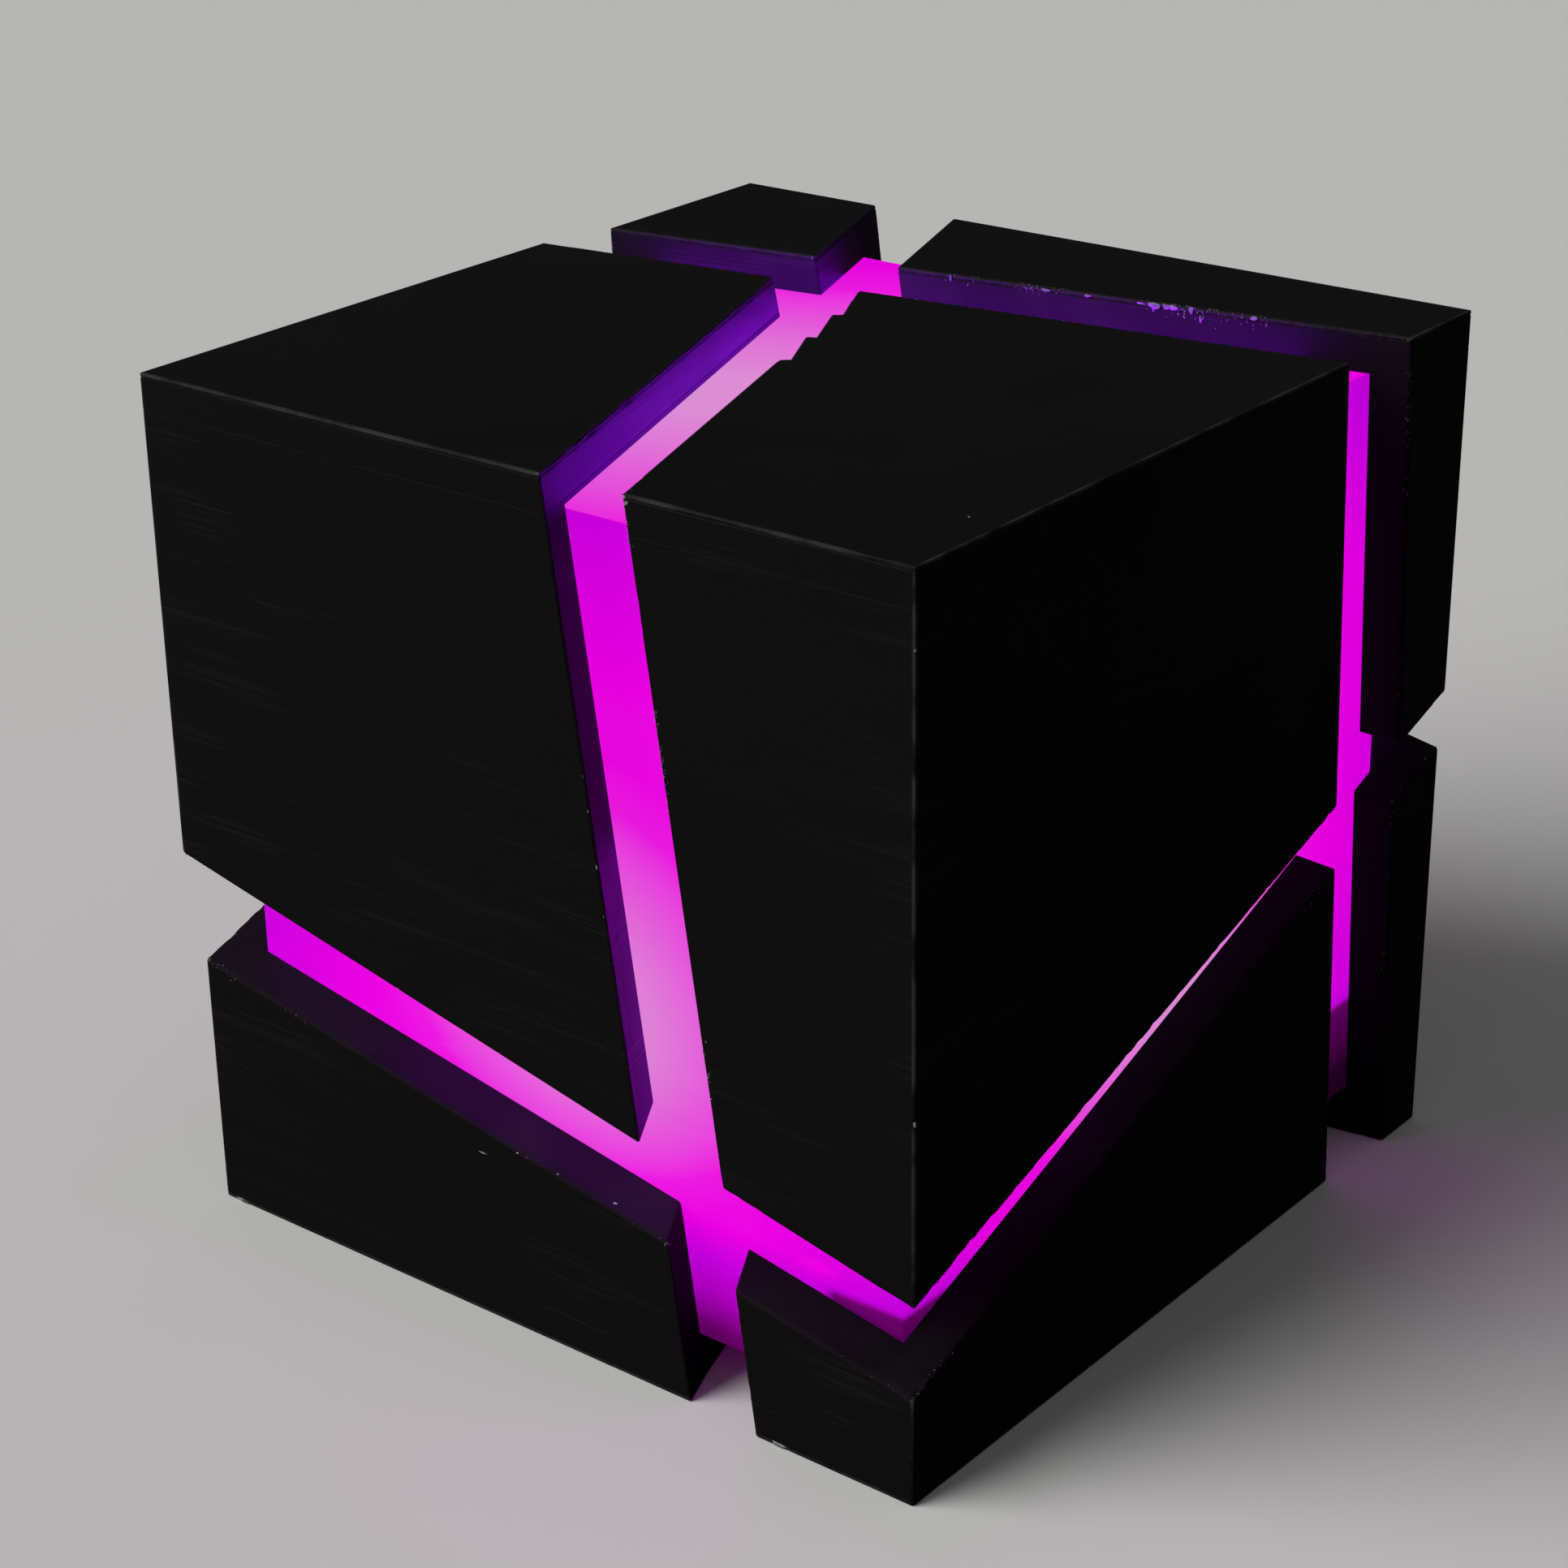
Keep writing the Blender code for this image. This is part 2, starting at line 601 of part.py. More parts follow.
def make_board_parts(board, chip_plastic, capacitor_metal):
    bm = bmesh.new()
    half = CHIP_SIDE / 2
    add_box(bm, (-half, 0, -half), (half, CHIP_HEIGHT, half))
    add_object("control_chip", bm, chip_plastic, (0, GAP, CHIP_RISE), board)
    bm = bmesh.new()
    rim = CAPACITOR_RADIUS * 0.9
    profile = [
        (0, 0),
        (CAPACITOR_RADIUS, 0),
        (CAPACITOR_RADIUS, CAPACITOR_HEIGHT - (CAPACITOR_RADIUS - rim)),
        (rim, CAPACITOR_HEIGHT),
        (0, CAPACITOR_HEIGHT),
    ]
    add_turned(bm, profile, (0, 1, 0))
    place = (BOARD_WIDTH / 2 - CAPACITOR_EDGE, GAP, CHIP_RISE)
    add_object("smoothing_capacitor", bm, capacitor_metal, place, board)


def make_power_inlet(board, metal, plastic):
    """The inlet's shell, flush with the core's back face, and the tongue inside it."""
    place = (INLET_X - BOARD_X, GAP, INLET_RISE)
    depth = BOARD_STANDOFF + CORE_WALL - GAP
    bm = bmesh.new()
    add_stadium(bm, INLET_WIDTH, INLET_HEIGHT, 0, depth, (0, 0, 0))
    shell = add_object("power_inlet_shell", bm, metal, place, board)
    mouth = bmesh.new()
    width, height = INLET_WIDTH - 2 * INLET_SHELL, INLET_HEIGHT - 2 * INLET_SHELL
    add_stadium(mouth, width, height, INLET_BACK, depth + OVERSHOOT, (0, 0, 0))
    combine(shell, "DIFFERENCE", "inlet_mouth", mouth)
    bm = bmesh.new()
    half_width, half_height = TONGUE_WIDTH / 2, TONGUE_HEIGHT / 2
    near, far = INLET_BACK + GAP, depth - TONGUE_RECESS
    add_box(bm, (-half_width, near, -half_height), (half_width, far, half_height))
    add_object("power_inlet_tongue", bm, plastic, place, board)


def make_button(board, housing_plastic, plunger_plastic, cap_plastic):
    """The switch on the board, and its plunger and cap, which slide along Y."""
    place = (BUTTON_X - BOARD_X, 0, BUTTON_RISE)
    bm = bmesh.new()
    half = SWITCH_SIDE / 2
    add_box(bm, (-half, GAP, -half), (half, GAP + SWITCH_HEIGHT, half))
    housing = add_object("button_switch_housing", bm, housing_plastic, place, board)
    well = bmesh.new()
    low, high = GAP + SWITCH_FLOOR, GAP + SWITCH_HEIGHT + OVERSHOOT
    add_cylinder(well, PLUNGER_RADIUS + GAP, low, high, (0, 1, 0))
    combine(housing, "DIFFERENCE", "switch_well", well)

    bm = bmesh.new()
    socket_end = BUTTON_BASE + BUTTON_SOCKET_DEPTH
    add_cylinder(bm, PLUNGER_RADIUS, PLUNGER_BASE, socket_end - GAP, (0, 1, 0))
    add_object("button_switch_plunger", bm, plunger_plastic, place, board)

    tip = CUBE_SIDE / 2 - BUTTON_RECESS - BOARD_FACE
    flange_end = BUTTON_BASE + BUTTON_FLANGE
    socket_radius = PLUNGER_RADIUS + GAP
    profile = [
        (0, socket_end),
        (socket_radius, socket_end),
        (socket_radius, BUTTON_BASE),
        (BUTTON_FLANGE_RADIUS, BUTTON_BASE),
        (BUTTON_FLANGE_RADIUS, flange_end),
        (BUTTON_RADIUS, flange_end),
    ]
    for step in range(4):
        angle = math.pi / 2 * step / 3
        radius = BUTTON_RADIUS - BUTTON_TIP_ROUND * (1 - math.cos(angle))
        profile.append((radius, tip - BUTTON_TIP_ROUND * (1 - math.sin(angle))))
    profile.append((0, tip))
    bm = bmesh.new()
    add_turned(bm, profile, (0, 1, 0))
    add_object("button_cap", bm, cap_plastic, place, board)


def make_light_lead(material):
    """The jacketed lead from the board's back to the foot of the back strip, in one smooth bow."""
    start = Vector((BOARD_X, BOARD_FACE - BOARD_THICKNESS - GAP, BOARD_BOTTOM + 2 * LEAD_RADIUS))
    end_y = POST_SIDE / 2 + GAP + STRIP_THICKNESS + GAP
    end = Vector((0, end_y, STRIP_BOTTOM + 2 * LEAD_RADIUS))
    handles = (start, start - Vector((0, LEAD_REACH, 0)), end + Vector((0, LEAD_REACH, 0)), end)
    curve = bpy.data.curves.new("light_lead", "CURVE")
    curve.dimensions = "3D"
    curve.bevel_depth = LEAD_RADIUS
    curve.bevel_resolution = 2
    curve.use_fill_caps = True
    spline = curve.splines.new("POLY")
    spline.points.add(LEAD_POINTS - 1)
    for index, point in enumerate(spline.points):
        t = index / (LEAD_POINTS - 1)
        weights = ((1 - t) ** 3, 3 * t * (1 - t) ** 2, 3 * t**2 * (1 - t), t**3)
        place = sum((handle * weight for handle, weight in zip(handles, weights)), Vector())
        point.co = (*place, 1)
    place_object("light_lead", curve, material, (0, 0, 0), None)


BOARD_X = slit_middle(BOARD_BOTTOM + (INLET_RISE + BUTTON_RISE) / 2)
INLET_X = slit_middle(BOARD_BOTTOM + INLET_RISE)
BUTTON_X = slit_middle(BOARD_BOTTOM + BUTTON_RISE)


def main():
    clear_scene()
    black = make_material("black_shard_plastic", (0.012, 0.012, 0.013), 0.62)
    magenta = (0.80, 0.05, 0.75)
    diffuser = make_material("milky_diffuser_plastic", magenta, 0.45, glow=1.0)
    magnet_metal = make_material("magnet_nickel", (0.66, 0.65, 0.62), 0.22, 1.0)
    steel = make_material("screw_steel", (0.42, 0.42, 0.43), 0.32, 1.0)
    white = make_material("white_post_plastic", (0.80, 0.80, 0.78), 0.55)
    circuit = make_material("strip_circuit", (0.86, 0.86, 0.84), 0.40)
    diode = make_material("diode_plastic", (0.93, 0.92, 0.86), 0.30)
    board_green = make_material("board_laminate", (0.02, 0.16, 0.07), 0.35)
    chip = make_material("chip_plastic", (0.02, 0.02, 0.02), 0.45)
    aluminium = make_material("capacitor_can", (0.72, 0.72, 0.73), 0.28, 1.0)
    inlet_metal = make_material("inlet_metal", (0.60, 0.60, 0.62), 0.25, 1.0)
    tongue = make_material("tongue_plastic", (0.03, 0.03, 0.03), 0.40)
    switch = make_material("switch_plastic", (0.04, 0.04, 0.04), 0.45)
    button = make_material("button_plastic", (0.03, 0.03, 0.03), 0.50)
    jacket = make_material("lead_jacket", (0.75, 0.75, 0.73), 0.50)

    for shard in SHARDS:
        make_shard(shard, black, magnet_metal)
        make_core_magnet(shard, magnet_metal)
    make_core_diffuser(diffuser)
    make_core_base_lid(diffuser)
    make_light_post(white)
    for index, side in enumerate(("front", "right", "back", "left")):
        make_light_strip(side, index * math.pi / 2, circuit, diode)
    board = make_control_board(board_green)
    make_board_parts(board, chip, aluminium)
    make_power_inlet(board, inlet_metal, tongue)
    make_button(board, switch, switch, button)
    make_light_lead(jacket)
    make_screws(steel, board)


main()
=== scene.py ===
"""Looks of the fractured-cube lamp: eight printed black shards round a glowing milky core.

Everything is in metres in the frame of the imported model, +Z up, front at -Y. The frame's solids
keep their shapes and places. This script gives them their finishes, adds the small pieces that
ride on them, and builds the stage.
"""

import json
import math

import bmesh
import bpy
from bpy.props import FloatProperty, FloatVectorProperty, PointerProperty
from mathutils import Euler, Matrix, Quaternion, Vector
from mathutils.bvhtree import BVHTree
from mathutils.noise import noise as waver

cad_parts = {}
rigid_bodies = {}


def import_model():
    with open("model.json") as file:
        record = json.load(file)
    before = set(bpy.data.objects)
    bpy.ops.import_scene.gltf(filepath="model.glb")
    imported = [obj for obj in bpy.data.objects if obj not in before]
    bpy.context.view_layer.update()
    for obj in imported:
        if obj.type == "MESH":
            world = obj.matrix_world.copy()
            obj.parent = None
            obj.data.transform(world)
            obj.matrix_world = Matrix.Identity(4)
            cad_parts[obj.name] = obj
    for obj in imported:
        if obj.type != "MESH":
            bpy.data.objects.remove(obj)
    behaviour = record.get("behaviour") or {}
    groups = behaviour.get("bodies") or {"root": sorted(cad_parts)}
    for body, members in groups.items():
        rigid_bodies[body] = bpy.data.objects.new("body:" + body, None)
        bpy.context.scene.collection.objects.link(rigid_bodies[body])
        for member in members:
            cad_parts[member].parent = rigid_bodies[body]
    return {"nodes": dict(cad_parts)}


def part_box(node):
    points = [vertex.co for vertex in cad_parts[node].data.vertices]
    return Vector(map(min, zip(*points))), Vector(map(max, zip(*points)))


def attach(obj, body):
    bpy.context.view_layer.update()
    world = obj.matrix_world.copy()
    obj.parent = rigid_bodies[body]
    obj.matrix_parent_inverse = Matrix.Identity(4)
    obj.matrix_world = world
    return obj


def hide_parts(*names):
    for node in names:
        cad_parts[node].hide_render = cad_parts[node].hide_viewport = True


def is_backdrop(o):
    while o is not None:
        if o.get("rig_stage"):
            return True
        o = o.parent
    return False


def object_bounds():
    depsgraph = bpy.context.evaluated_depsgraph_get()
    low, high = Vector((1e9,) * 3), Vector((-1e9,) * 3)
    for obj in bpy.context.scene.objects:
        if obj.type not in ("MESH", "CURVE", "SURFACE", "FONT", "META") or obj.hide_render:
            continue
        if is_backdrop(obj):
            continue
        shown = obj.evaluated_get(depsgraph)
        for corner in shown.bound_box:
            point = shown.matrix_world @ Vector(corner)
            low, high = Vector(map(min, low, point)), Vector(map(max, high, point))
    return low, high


bl_info = {
    "name": "Fractured Cube Lamp",
    "version": (1, 0, 0),
    "blender": (4, 5, 0),
    "location": "View3D > Sidebar > Lamp",
    "description": "Finishes and small pieces of a magnetic fractured-cube desk lamp",
    "category": "Object",
}

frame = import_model()
CAD_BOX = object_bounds()

MM = 0.001
SHARDS = [
    f"{level}_{side}_{depth}"
    for level in ("upper", "lower")
    for side in ("left", "right")
    for depth in ("front", "back")
]
CORE_LOW, CORE_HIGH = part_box("core_diffuser")
CORE_MIDDLE = (CORE_LOW + CORE_HIGH) / 2

# Height of a printed layer of the core and the light post
LAYER = 0.2 * MM

# Glow of the core by how much light reaches the wall, from the dim foot to the white spots
GLOW_SHADES = [
    (0.0, (0.002, 0.0, 0.002)),
    (0.10, (0.015, 0.0003, 0.015)),
    (0.22, (0.136, 0.0, 0.136)),
    (0.34, (0.397, 0.0, 0.497)),
    (0.46, (0.530, 0.0, 0.694)),
    (0.58, (0.790, 0.0, 0.725)),
    (0.68, (0.800, 0.010, 0.715)),
    (0.80, (0.760, 0.098, 0.685)),
    (1.0, (0.705, 0.285, 0.655)),
]

# Light that reaches the walls and the top, and how much more reaches their spots
WALL_LEVEL = 0.6
WALL_SPOT_LEVEL = 0.32
TOP_LEVEL = 0.58
TOP_SPOT_LEVEL = 0.40

# The lid's bosses: how far from the middle, how high, and how much of the light they hide
BOSS_SIDES = (41 * MM, 44 * MM)
BOSS_TOP = (15.6 * MM, 14.0 * MM)
BOSS_SHADE = 0.56

# The right wall gets a little brighter between these heights
RIGHT_WALL_RISE = (28 * MM, 42 * MM)
RIGHT_WALL_LIFT = 0.04

# A paler smear near the front right foot
SMEAR_MIDDLE = (41 * MM, CORE_LOW.y, 23 * MM)
SMEAR_HALF_SIZE = (4 * MM, 4 * MM, 1.2 * MM)

# The light that each face of the core throws on the cut faces: its way, its colour, and the
# watts of its whole face and of its spot
VIOLET = (0.55, 0.0, 1.0)
CORE_LIGHTS = {
    "front": ((0, -1, 0), VIOLET, 0.046, 0.050),
    "back": ((0, 1, 0), VIOLET, 0.050, 0.040),
    "left": ((-1, 0, 0), VIOLET, 0.038, 0.036),
    "right": ((1, 0, 0), VIOLET, 0.006, 0.008),
    "top": ((0, 0, 1), (0.33, 0.0, 1.0), 0.50, 0.62),
}

# How far from the middle the top wall is brightest, and the light that it throws is centred
TOP_SPOT_SHIFT = (-9 * MM, -10 * MM, 0)
TOP_LIGHT_SHIFT = (-3 * MM, -5 * MM, 0)

# The slanted faces are known by their size in square metres and by how far they lean
CUT_FACE_AREA = 100 * MM * MM
CUT_FACE_LEAN = 0.9975

# The stepped stretch of the upper right front shard's top edge
STEPS_START = -8.5 * MM
STEP_RUN = 10.0 * MM
STEP_RISE = 0.75 * MM
STEP_COUNT = 3
STEP_BORDER = 1.6 * MM

# Points this close to a cut face and to an outer face are on the rim between them, which is
# frayed where its edges are this long
RIM_REACH = 0.45 * MM
LONG_EDGE = 3 * MM

# Grooves round each shard, by their distance from its printing bed and their half width
FIRST_LAYER_LINE = (0.55 * MM, 0.14 * MM)
SOLID_LAYER_LINE = (4.9 * MM, 0.12 * MM)

# Single chips by shard and by corner of its box (0 low, 1 high): the millimetres from there, and
# half of the chip's size along each axis in millimetres
CHIPS = {
    ("upper_left_front", (1, 0, 1)): [
        ((-12.2, 0.12, -0.12), (0.40, 0.16, 0.16)),
        ((-7.3, 0.15, -37.2), (0.18, 0.16, 0.30)),
        ((-7.5, 0.15, -41.5), (0.16, 0.14, 0.22)),
        ((-5.3, 0.15, -48.3), (0.18, 0.16, 0.34)),
        ((-5.5, 0.15, -54.3), (0.15, 0.14, 0.20)),
    ],
    ("upper_right_front", (0, 0, 1)): [
        ((30.2, 0.15, -0.9), (0.34, 0.26, 0.30)),
        ((30.4, 0.15, -0.12), (0.24, 0.22, 0.18)),
        ((36.2, 0.02, -51.5), (0.16, 0.08, 0.14)),
    ],
    ("upper_right_front", (1, 0, 1)): [
        ((-4.8, 16.6, -0.02), (0.26, 0.20, 0.08)),
        ((-0.12, 0.12, -68.0), (0.20, 0.20, 0.55)),
        ((-0.12, 0.12, -9.5), (0.18, 0.18, 0.28)),
    ],
    ("upper_right_back", (1, 0, 1)): [
        ((-37.2, 3.9, -0.3), (0.60, 0.14, 0.26)),
        ((-35.4, 4.1, -0.4), (0.95, 0.16, 0.40)),
        ((-34.2, 4.2, -0.8), (0.70, 0.16, 0.60)),
        ((-32.8, 4.4, -0.5), (0.90, 0.16, 0.36)),
        ((-30.4, 4.7, -1.0), (0.30, 0.14, 0.60)),
        ((-28.9, 4.9, -1.5), (0.22, 0.14, 0.55)),
        ((-21.8, 5.8, -0.7), (0.50, 0.14, 0.30)),
        ((-45.0, 2.7, -0.3), (0.80, 0.12, 0.18)),
        ((-52.0, 1.8, -0.3), (1.00, 0.12, 0.20)),
        ((-65.5, 0.4, -1.6), (0.16, 0.12, 0.60)),
        ((-0.12, 8.6, -0.12), (0.20, 0.65, 0.20)),
        ((-0.15, 11.6, -9.1), (0.14, 0.22, 0.20)),
    ],
    ("lower_left_front", (0, 0, 0)): [
        ((3.3, 0.05, 0.30), (1.20, 0.16, 0.42)),
        ((50.7, 0.02, 24.4), (0.90, 0.08, 0.14)),
        ((57.0, 0.10, 25.3), (0.30, 0.16, 0.16)),
        ((63.5, 0.10, 25.8), (0.24, 0.16, 0.18)),
        ((73.0, 0.10, 26.5), (0.34, 0.16, 0.16)),
    ],
    ("lower_right_front", (1, 0, 0)): [
        ((-20.7, 0.05, 0.30), (1.10, 0.16, 0.36)),
    ],
}

# One frayed point in this many may hold a flake, and each may where the edge is rubbed
FLAKE_SPACING = 4

# A chip this close to a cut edge sits on it, and one this far off its shard is moved onto it
SNAP_REACH = 1.6 * MM
SETTLE_REACH = 0.25 * MM

# Where the slit's top edge is rubbed pale on the upper right back shard: the middle along X, half
# the length, and how badly
RUBS = [
    (-4 * MM, 4 * MM, 0.55),
    (9 * MM, 5 * MM, 0.6),
    (29.5 * MM, 9 * MM, 1.0),
    (39.5 * MM, 3 * MM, 0.8),
]

# Seats of the light's parts
DIODE_LOW, DIODE_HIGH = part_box("diode_front_low")
FIRST_DIODE = (DIODE_LOW.z + DIODE_HIGH.z) / 2
DIODE_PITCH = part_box("diode_front_middle")[0].z - DIODE_LOW.z

# The light strip's copper pads and traces: from its middle line, and their half size
PAD_OFFSET, PAD_HALF_WIDTH, PAD_HALF_LENGTH = 2.7 * MM, 1.0 * MM, 1.4 * MM
TRACE_OFFSET, TRACE_HALF_WIDTH = 3.9 * MM, 0.35 * MM
SEAM_HALF_WIDTH = 0.12 * MM

# The diode's window, from its clear middle to its case, and the lit dies under it
WINDOW_EDGE = (2.0 * MM, 1.9 * MM)
DIE_EDGE = (0.9 * MM, 0.2 * MM)

# The board's traces, and its column of tinned holes
BOARD_TRACE_PITCH, BOARD_TRACE_HALF_WIDTH = 1.1 * MM, 0.16 * MM
HOLE_PITCH, HOLE_INSET = 2.54 * MM, 2.2 * MM
HOLE_RADIUS, HOLE_RING_RADIUS = 0.42 * MM, 0.85 * MM

# The key light's turns, and what the camera looks at and how far its frame is shifted
KEY_TURNS = (math.radians(60), 0, math.radians(-36))
KEY_SPREAD = math.radians(50)
LOOKED_AT = Vector((-0.01054, -0.00984, 0.05823))
FRAME_SHIFT = (0.0437, 0.0012)
FLOOR_HALF_SIZE = 12.0


# Node helpers


class Surface:
    """The nodes of a material or of a shared effect, with short ways to add to them."""

    def __init__(self, tree, place):
        self.tree = tree
        self.place = place

    def feed(self, socket, value):
        """Links an input to another node's output, or sets its own value."""
        if isinstance(value, bpy.types.NodeSocket):
            self.tree.links.new(value, socket)
        elif socket.type == "RGBA" and len(value) == 3:
            socket.default_value = (*value, 1)
        else:
            socket.default_value = value

    def add(self, kind, inputs, **settings):
        """Adds a node, sets its own values, and feeds its inputs by name or number."""
        node = self.tree.nodes.new(kind)
        for name, value in settings.items():
            setattr(node, name, value)
        for key, value in inputs.items():
            self.feed(node.inputs[key], value)
        return node

    def calc(self, operation, *values, clamp=False):
        """A Math node's result."""
        inputs = dict(enumerate(values))
        return self.add("ShaderNodeMath", inputs, operation=operation, use_clamp=clamp).outputs[0]

    def vector(self, operation, *values):
        """A Vector Math node's result."""
        node = self.add("ShaderNodeVectorMath", dict(enumerate(values)), operation=operation)
        return node.outputs["Value" if operation in ("LENGTH", "DISTANCE") else 0]

    def times(self, value, *others):
        for other in others:
            value = self.calc("MULTIPLY", value, other)
        return value

    def scaled(self, value, factor, added):
        return self.calc("MULTIPLY_ADD", value, factor, added)

    def under(self, value, limit):
        return self.calc("LESS_THAN", value, limit)

    def size(self, value):
        return self.calc("ABSOLUTE", value)

    def away(self, value, middle):
        """How far a value is from a middle."""
        return self.size(self.calc("SUBTRACT", value, middle))

    def reach(self, across, rise):
        """How far a point on a flat face is from that face's origin."""
        flat = self.add("ShaderNodeCombineXYZ", {0: across, 1: rise})
        return self.vector("LENGTH", flat.outputs[0])

    def ramp(self, value, start, end, smooth=True):
        """A mask that goes from 0 at start to 1 at end."""
        kind = "SMOOTHSTEP" if smooth else "LINEAR"
        inputs = {"Value": value, "From Min": start, "From Max": end, "To Min": 0.0, "To Max": 1.0}
        return self.add("ShaderNodeMapRange", inputs, interpolation_type=kind).outputs[0]

    def choose(self, mask, first, second):
        """A value between two, by a mask."""
        inputs = {0: mask, 2: first, 3: second}
        return self.add("ShaderNodeMix", inputs, data_type="FLOAT").outputs[0]

    def blend(self, mask, first, second):
        """A colour between two, by a mask."""
        inputs = {0: mask, 6: first, 7: second}
        return self.add("ShaderNodeMix", inputs, data_type="RGBA").outputs[2]

    def noise(self, scale, detail=2.0, roughness=0.5, stretch=None):
        """Noise over the object, in cells that a stretch can make longer one way."""
        place = self.vector("MULTIPLY", self.place, stretch) if stretch else self.place
        inputs = {"Vector": place, "Scale": scale, "Detail": detail, "Roughness": roughness}
        return self.add("ShaderNodeTexNoise", inputs).outputs[0]

    def parts(self, vector=None):
        """The X, Y and Z of a vector, or else of the place on the object."""
        inputs = {0: self.place if vector is None else vector}
        return tuple(self.add("ShaderNodeSeparateXYZ", inputs).outputs)

    def effect(self, maker, **inputs):
        """Places a shared effect; the keywords are its inputs."""
        named = {"Place": self.place, **{key.title(): value for key, value in inputs.items()}}
        group = EFFECTS.get(maker) or EFFECTS.setdefault(maker, maker())
        return self.add("ShaderNodeGroup", named, node_tree=group).outputs


EFFECTS = {}


def open_effect(name, outputs, **inputs):
    """A new node group that reads a place and some values, with its outputs still to feed."""
    tree = bpy.data.node_groups.new(name, "ShaderNodeTree")
    for label, value in {"place": (0, 0, 0), **inputs}.items():
        kind = "NodeSocketVector" if isinstance(value, tuple) else "NodeSocketFloat"
        socket = tree.interface.new_socket(name=label.title(), in_out="INPUT", socket_type=kind)
        socket.default_value = value
    for label in outputs:
        tree.interface.new_socket(name=label, in_out="OUTPUT", socket_type="NodeSocketFloat")
    given = tree.nodes.new("NodeGroupInput").outputs
    wanted = tree.nodes.new("NodeGroupOutput").inputs
    return Surface(tree, given["Place"]), given, wanted


# Shared effects


def printed_layers():
    """The ridges of printed layers, and the streaks where single layers came out lighter."""
    surface, given, wanted = open_effect("printed layers", ("Ridges", "Streaks"), layer=LAYER)
    turns = surface.calc("DIVIDE", surface.parts()[2], given["Layer"])
    wave = surface.calc("SINE", surface.times(turns, math.tau))
    fine = surface.noise(1.0, 3.0, stretch=(22, 22, 2600))
    broad = surface.noise(1.0, 2.0, stretch=(45, 45, 320))
    strong = surface.ramp(surface.times(fine, broad), 0.26, 0.46)
    here = surface.ramp(surface.noise(26.0), 0.40, 0.68)
    surface.feed(wanted["Ridges"], surface.scaled(wave, 0.5, 0.5))
    surface.feed(wanted["Streaks"], surface.times(strong, here))
    return surface.tree


def edge_line():
    """Where two of a block's outer faces meet: 1 on the edge, 0 past the width."""
    values = {"corner": (0, 0, 0), "width": 0.5 * MM}
    surface, given, wanted = open_effect("edge line", ("Edge",), **values)
    near = []
    for part in surface.parts(surface.vector("SUBTRACT", surface.place, given["Corner"])):
        share = surface.calc("DIVIDE", surface.size(part), given["Width"])
        near.append(surface.calc("SUBTRACT", 1.0, surface.ramp(share, 0.45, 1.0)))
    edge = surface.times(near[0], near[1])
    for first, second in ((near[1], near[2]), (near[2], near[0])):
        edge = surface.calc("MAXIMUM", edge, surface.times(first, second))
    surface.feed(wanted["Edge"], edge)
    return surface.tree


def specks():
    """Small pale dots and flakes, scattered; Amount is the share of cells that hold one."""
    values = {"spacing": 2 * MM, "amount": 0.1, "size": 0.16}
    surface, given, wanted = open_effect("specks", ("Specks",), **values)
    scale = surface.calc("DIVIDE", 1.0, given["Spacing"])
    cells = surface.add("ShaderNodeTexVoronoi", {"Vector": surface.place, "Scale": scale}).outputs
    chosen = surface.under(surface.parts(cells["Color"])[0], given["Amount"])
    reach = surface.scaled(surface.noise(2400.0), 0.12, cells["Distance"])
    dots = surface.under(reach, given["Size"])
    surface.feed(wanted["Specks"], surface.times(chosen, dots))
    return surface.tree


def smudges():
    """Soft patches of handling marks, for roughness and a faint change of colour."""
    surface, given, wanted = open_effect("smudges", ("Smudges", "Grain"), scale=40.0)
    broad = surface.noise(given["Scale"], 4.0, 0.6)
    surface.feed(wanted["Smudges"], surface.ramp(broad, 0.35, 0.70))
    surface.feed(wanted["Grain"], surface.noise(surface.times(given["Scale"], 70.0)))
    return surface.tree


# Materials


class Finish(Surface):
    """A material with its Principled shader, its layers' height and its smudges' scale."""

    def __init__(self, name, marks=None, layer=None):
        self.material = bpy.data.materials.new(name)
        self.material.use_nodes = True
        tree = self.material.node_tree
        super().__init__(tree, tree.nodes.new("ShaderNodeTexCoord").outputs["Object"])
        self.shader = tree.nodes["Principled BSDF"]
        if marks:
            self.smudges, self.grain = self.effect(smudges, scale=marks)
        if layer:
            self.ridges, self.streaks = self.effect(printed_layers, layer=layer)

    def set(self, name, value):
        self.feed(self.shader.inputs[name], value)

    def tint(self, mask, first, second):
        self.set("Base Color", self.blend(mask, first, second))

    def roughen(self, mask, change, base):
        self.set("Roughness", self.scaled(mask, change, base))

    def bump(self, height, distance, strength=1.0):
        inputs = {"Height": height, "Distance": distance, "Strength": strength}
        self.set("Normal", self.add("ShaderNodeBump", inputs).outputs[0])


def dress_all(material, *starts):
    """Gives a finish to every CAD node whose name starts with one of the given words."""
    for name, node in frame["nodes"].items():
        if name.startswith(starts):
            for slot in node.material_slots:
                slot.material = material
            if not node.material_slots:
                node.data.materials.append(material)


def outer_corner(shard):
    """The corner of the cube that a shard covers, where the shard really sits."""
    level, side, depth = shard.split("_")
    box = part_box(f"shard_{shard}")
    return Vector((box[side == "right"].x, box[depth == "back"].y, box[level == "upper"].z))


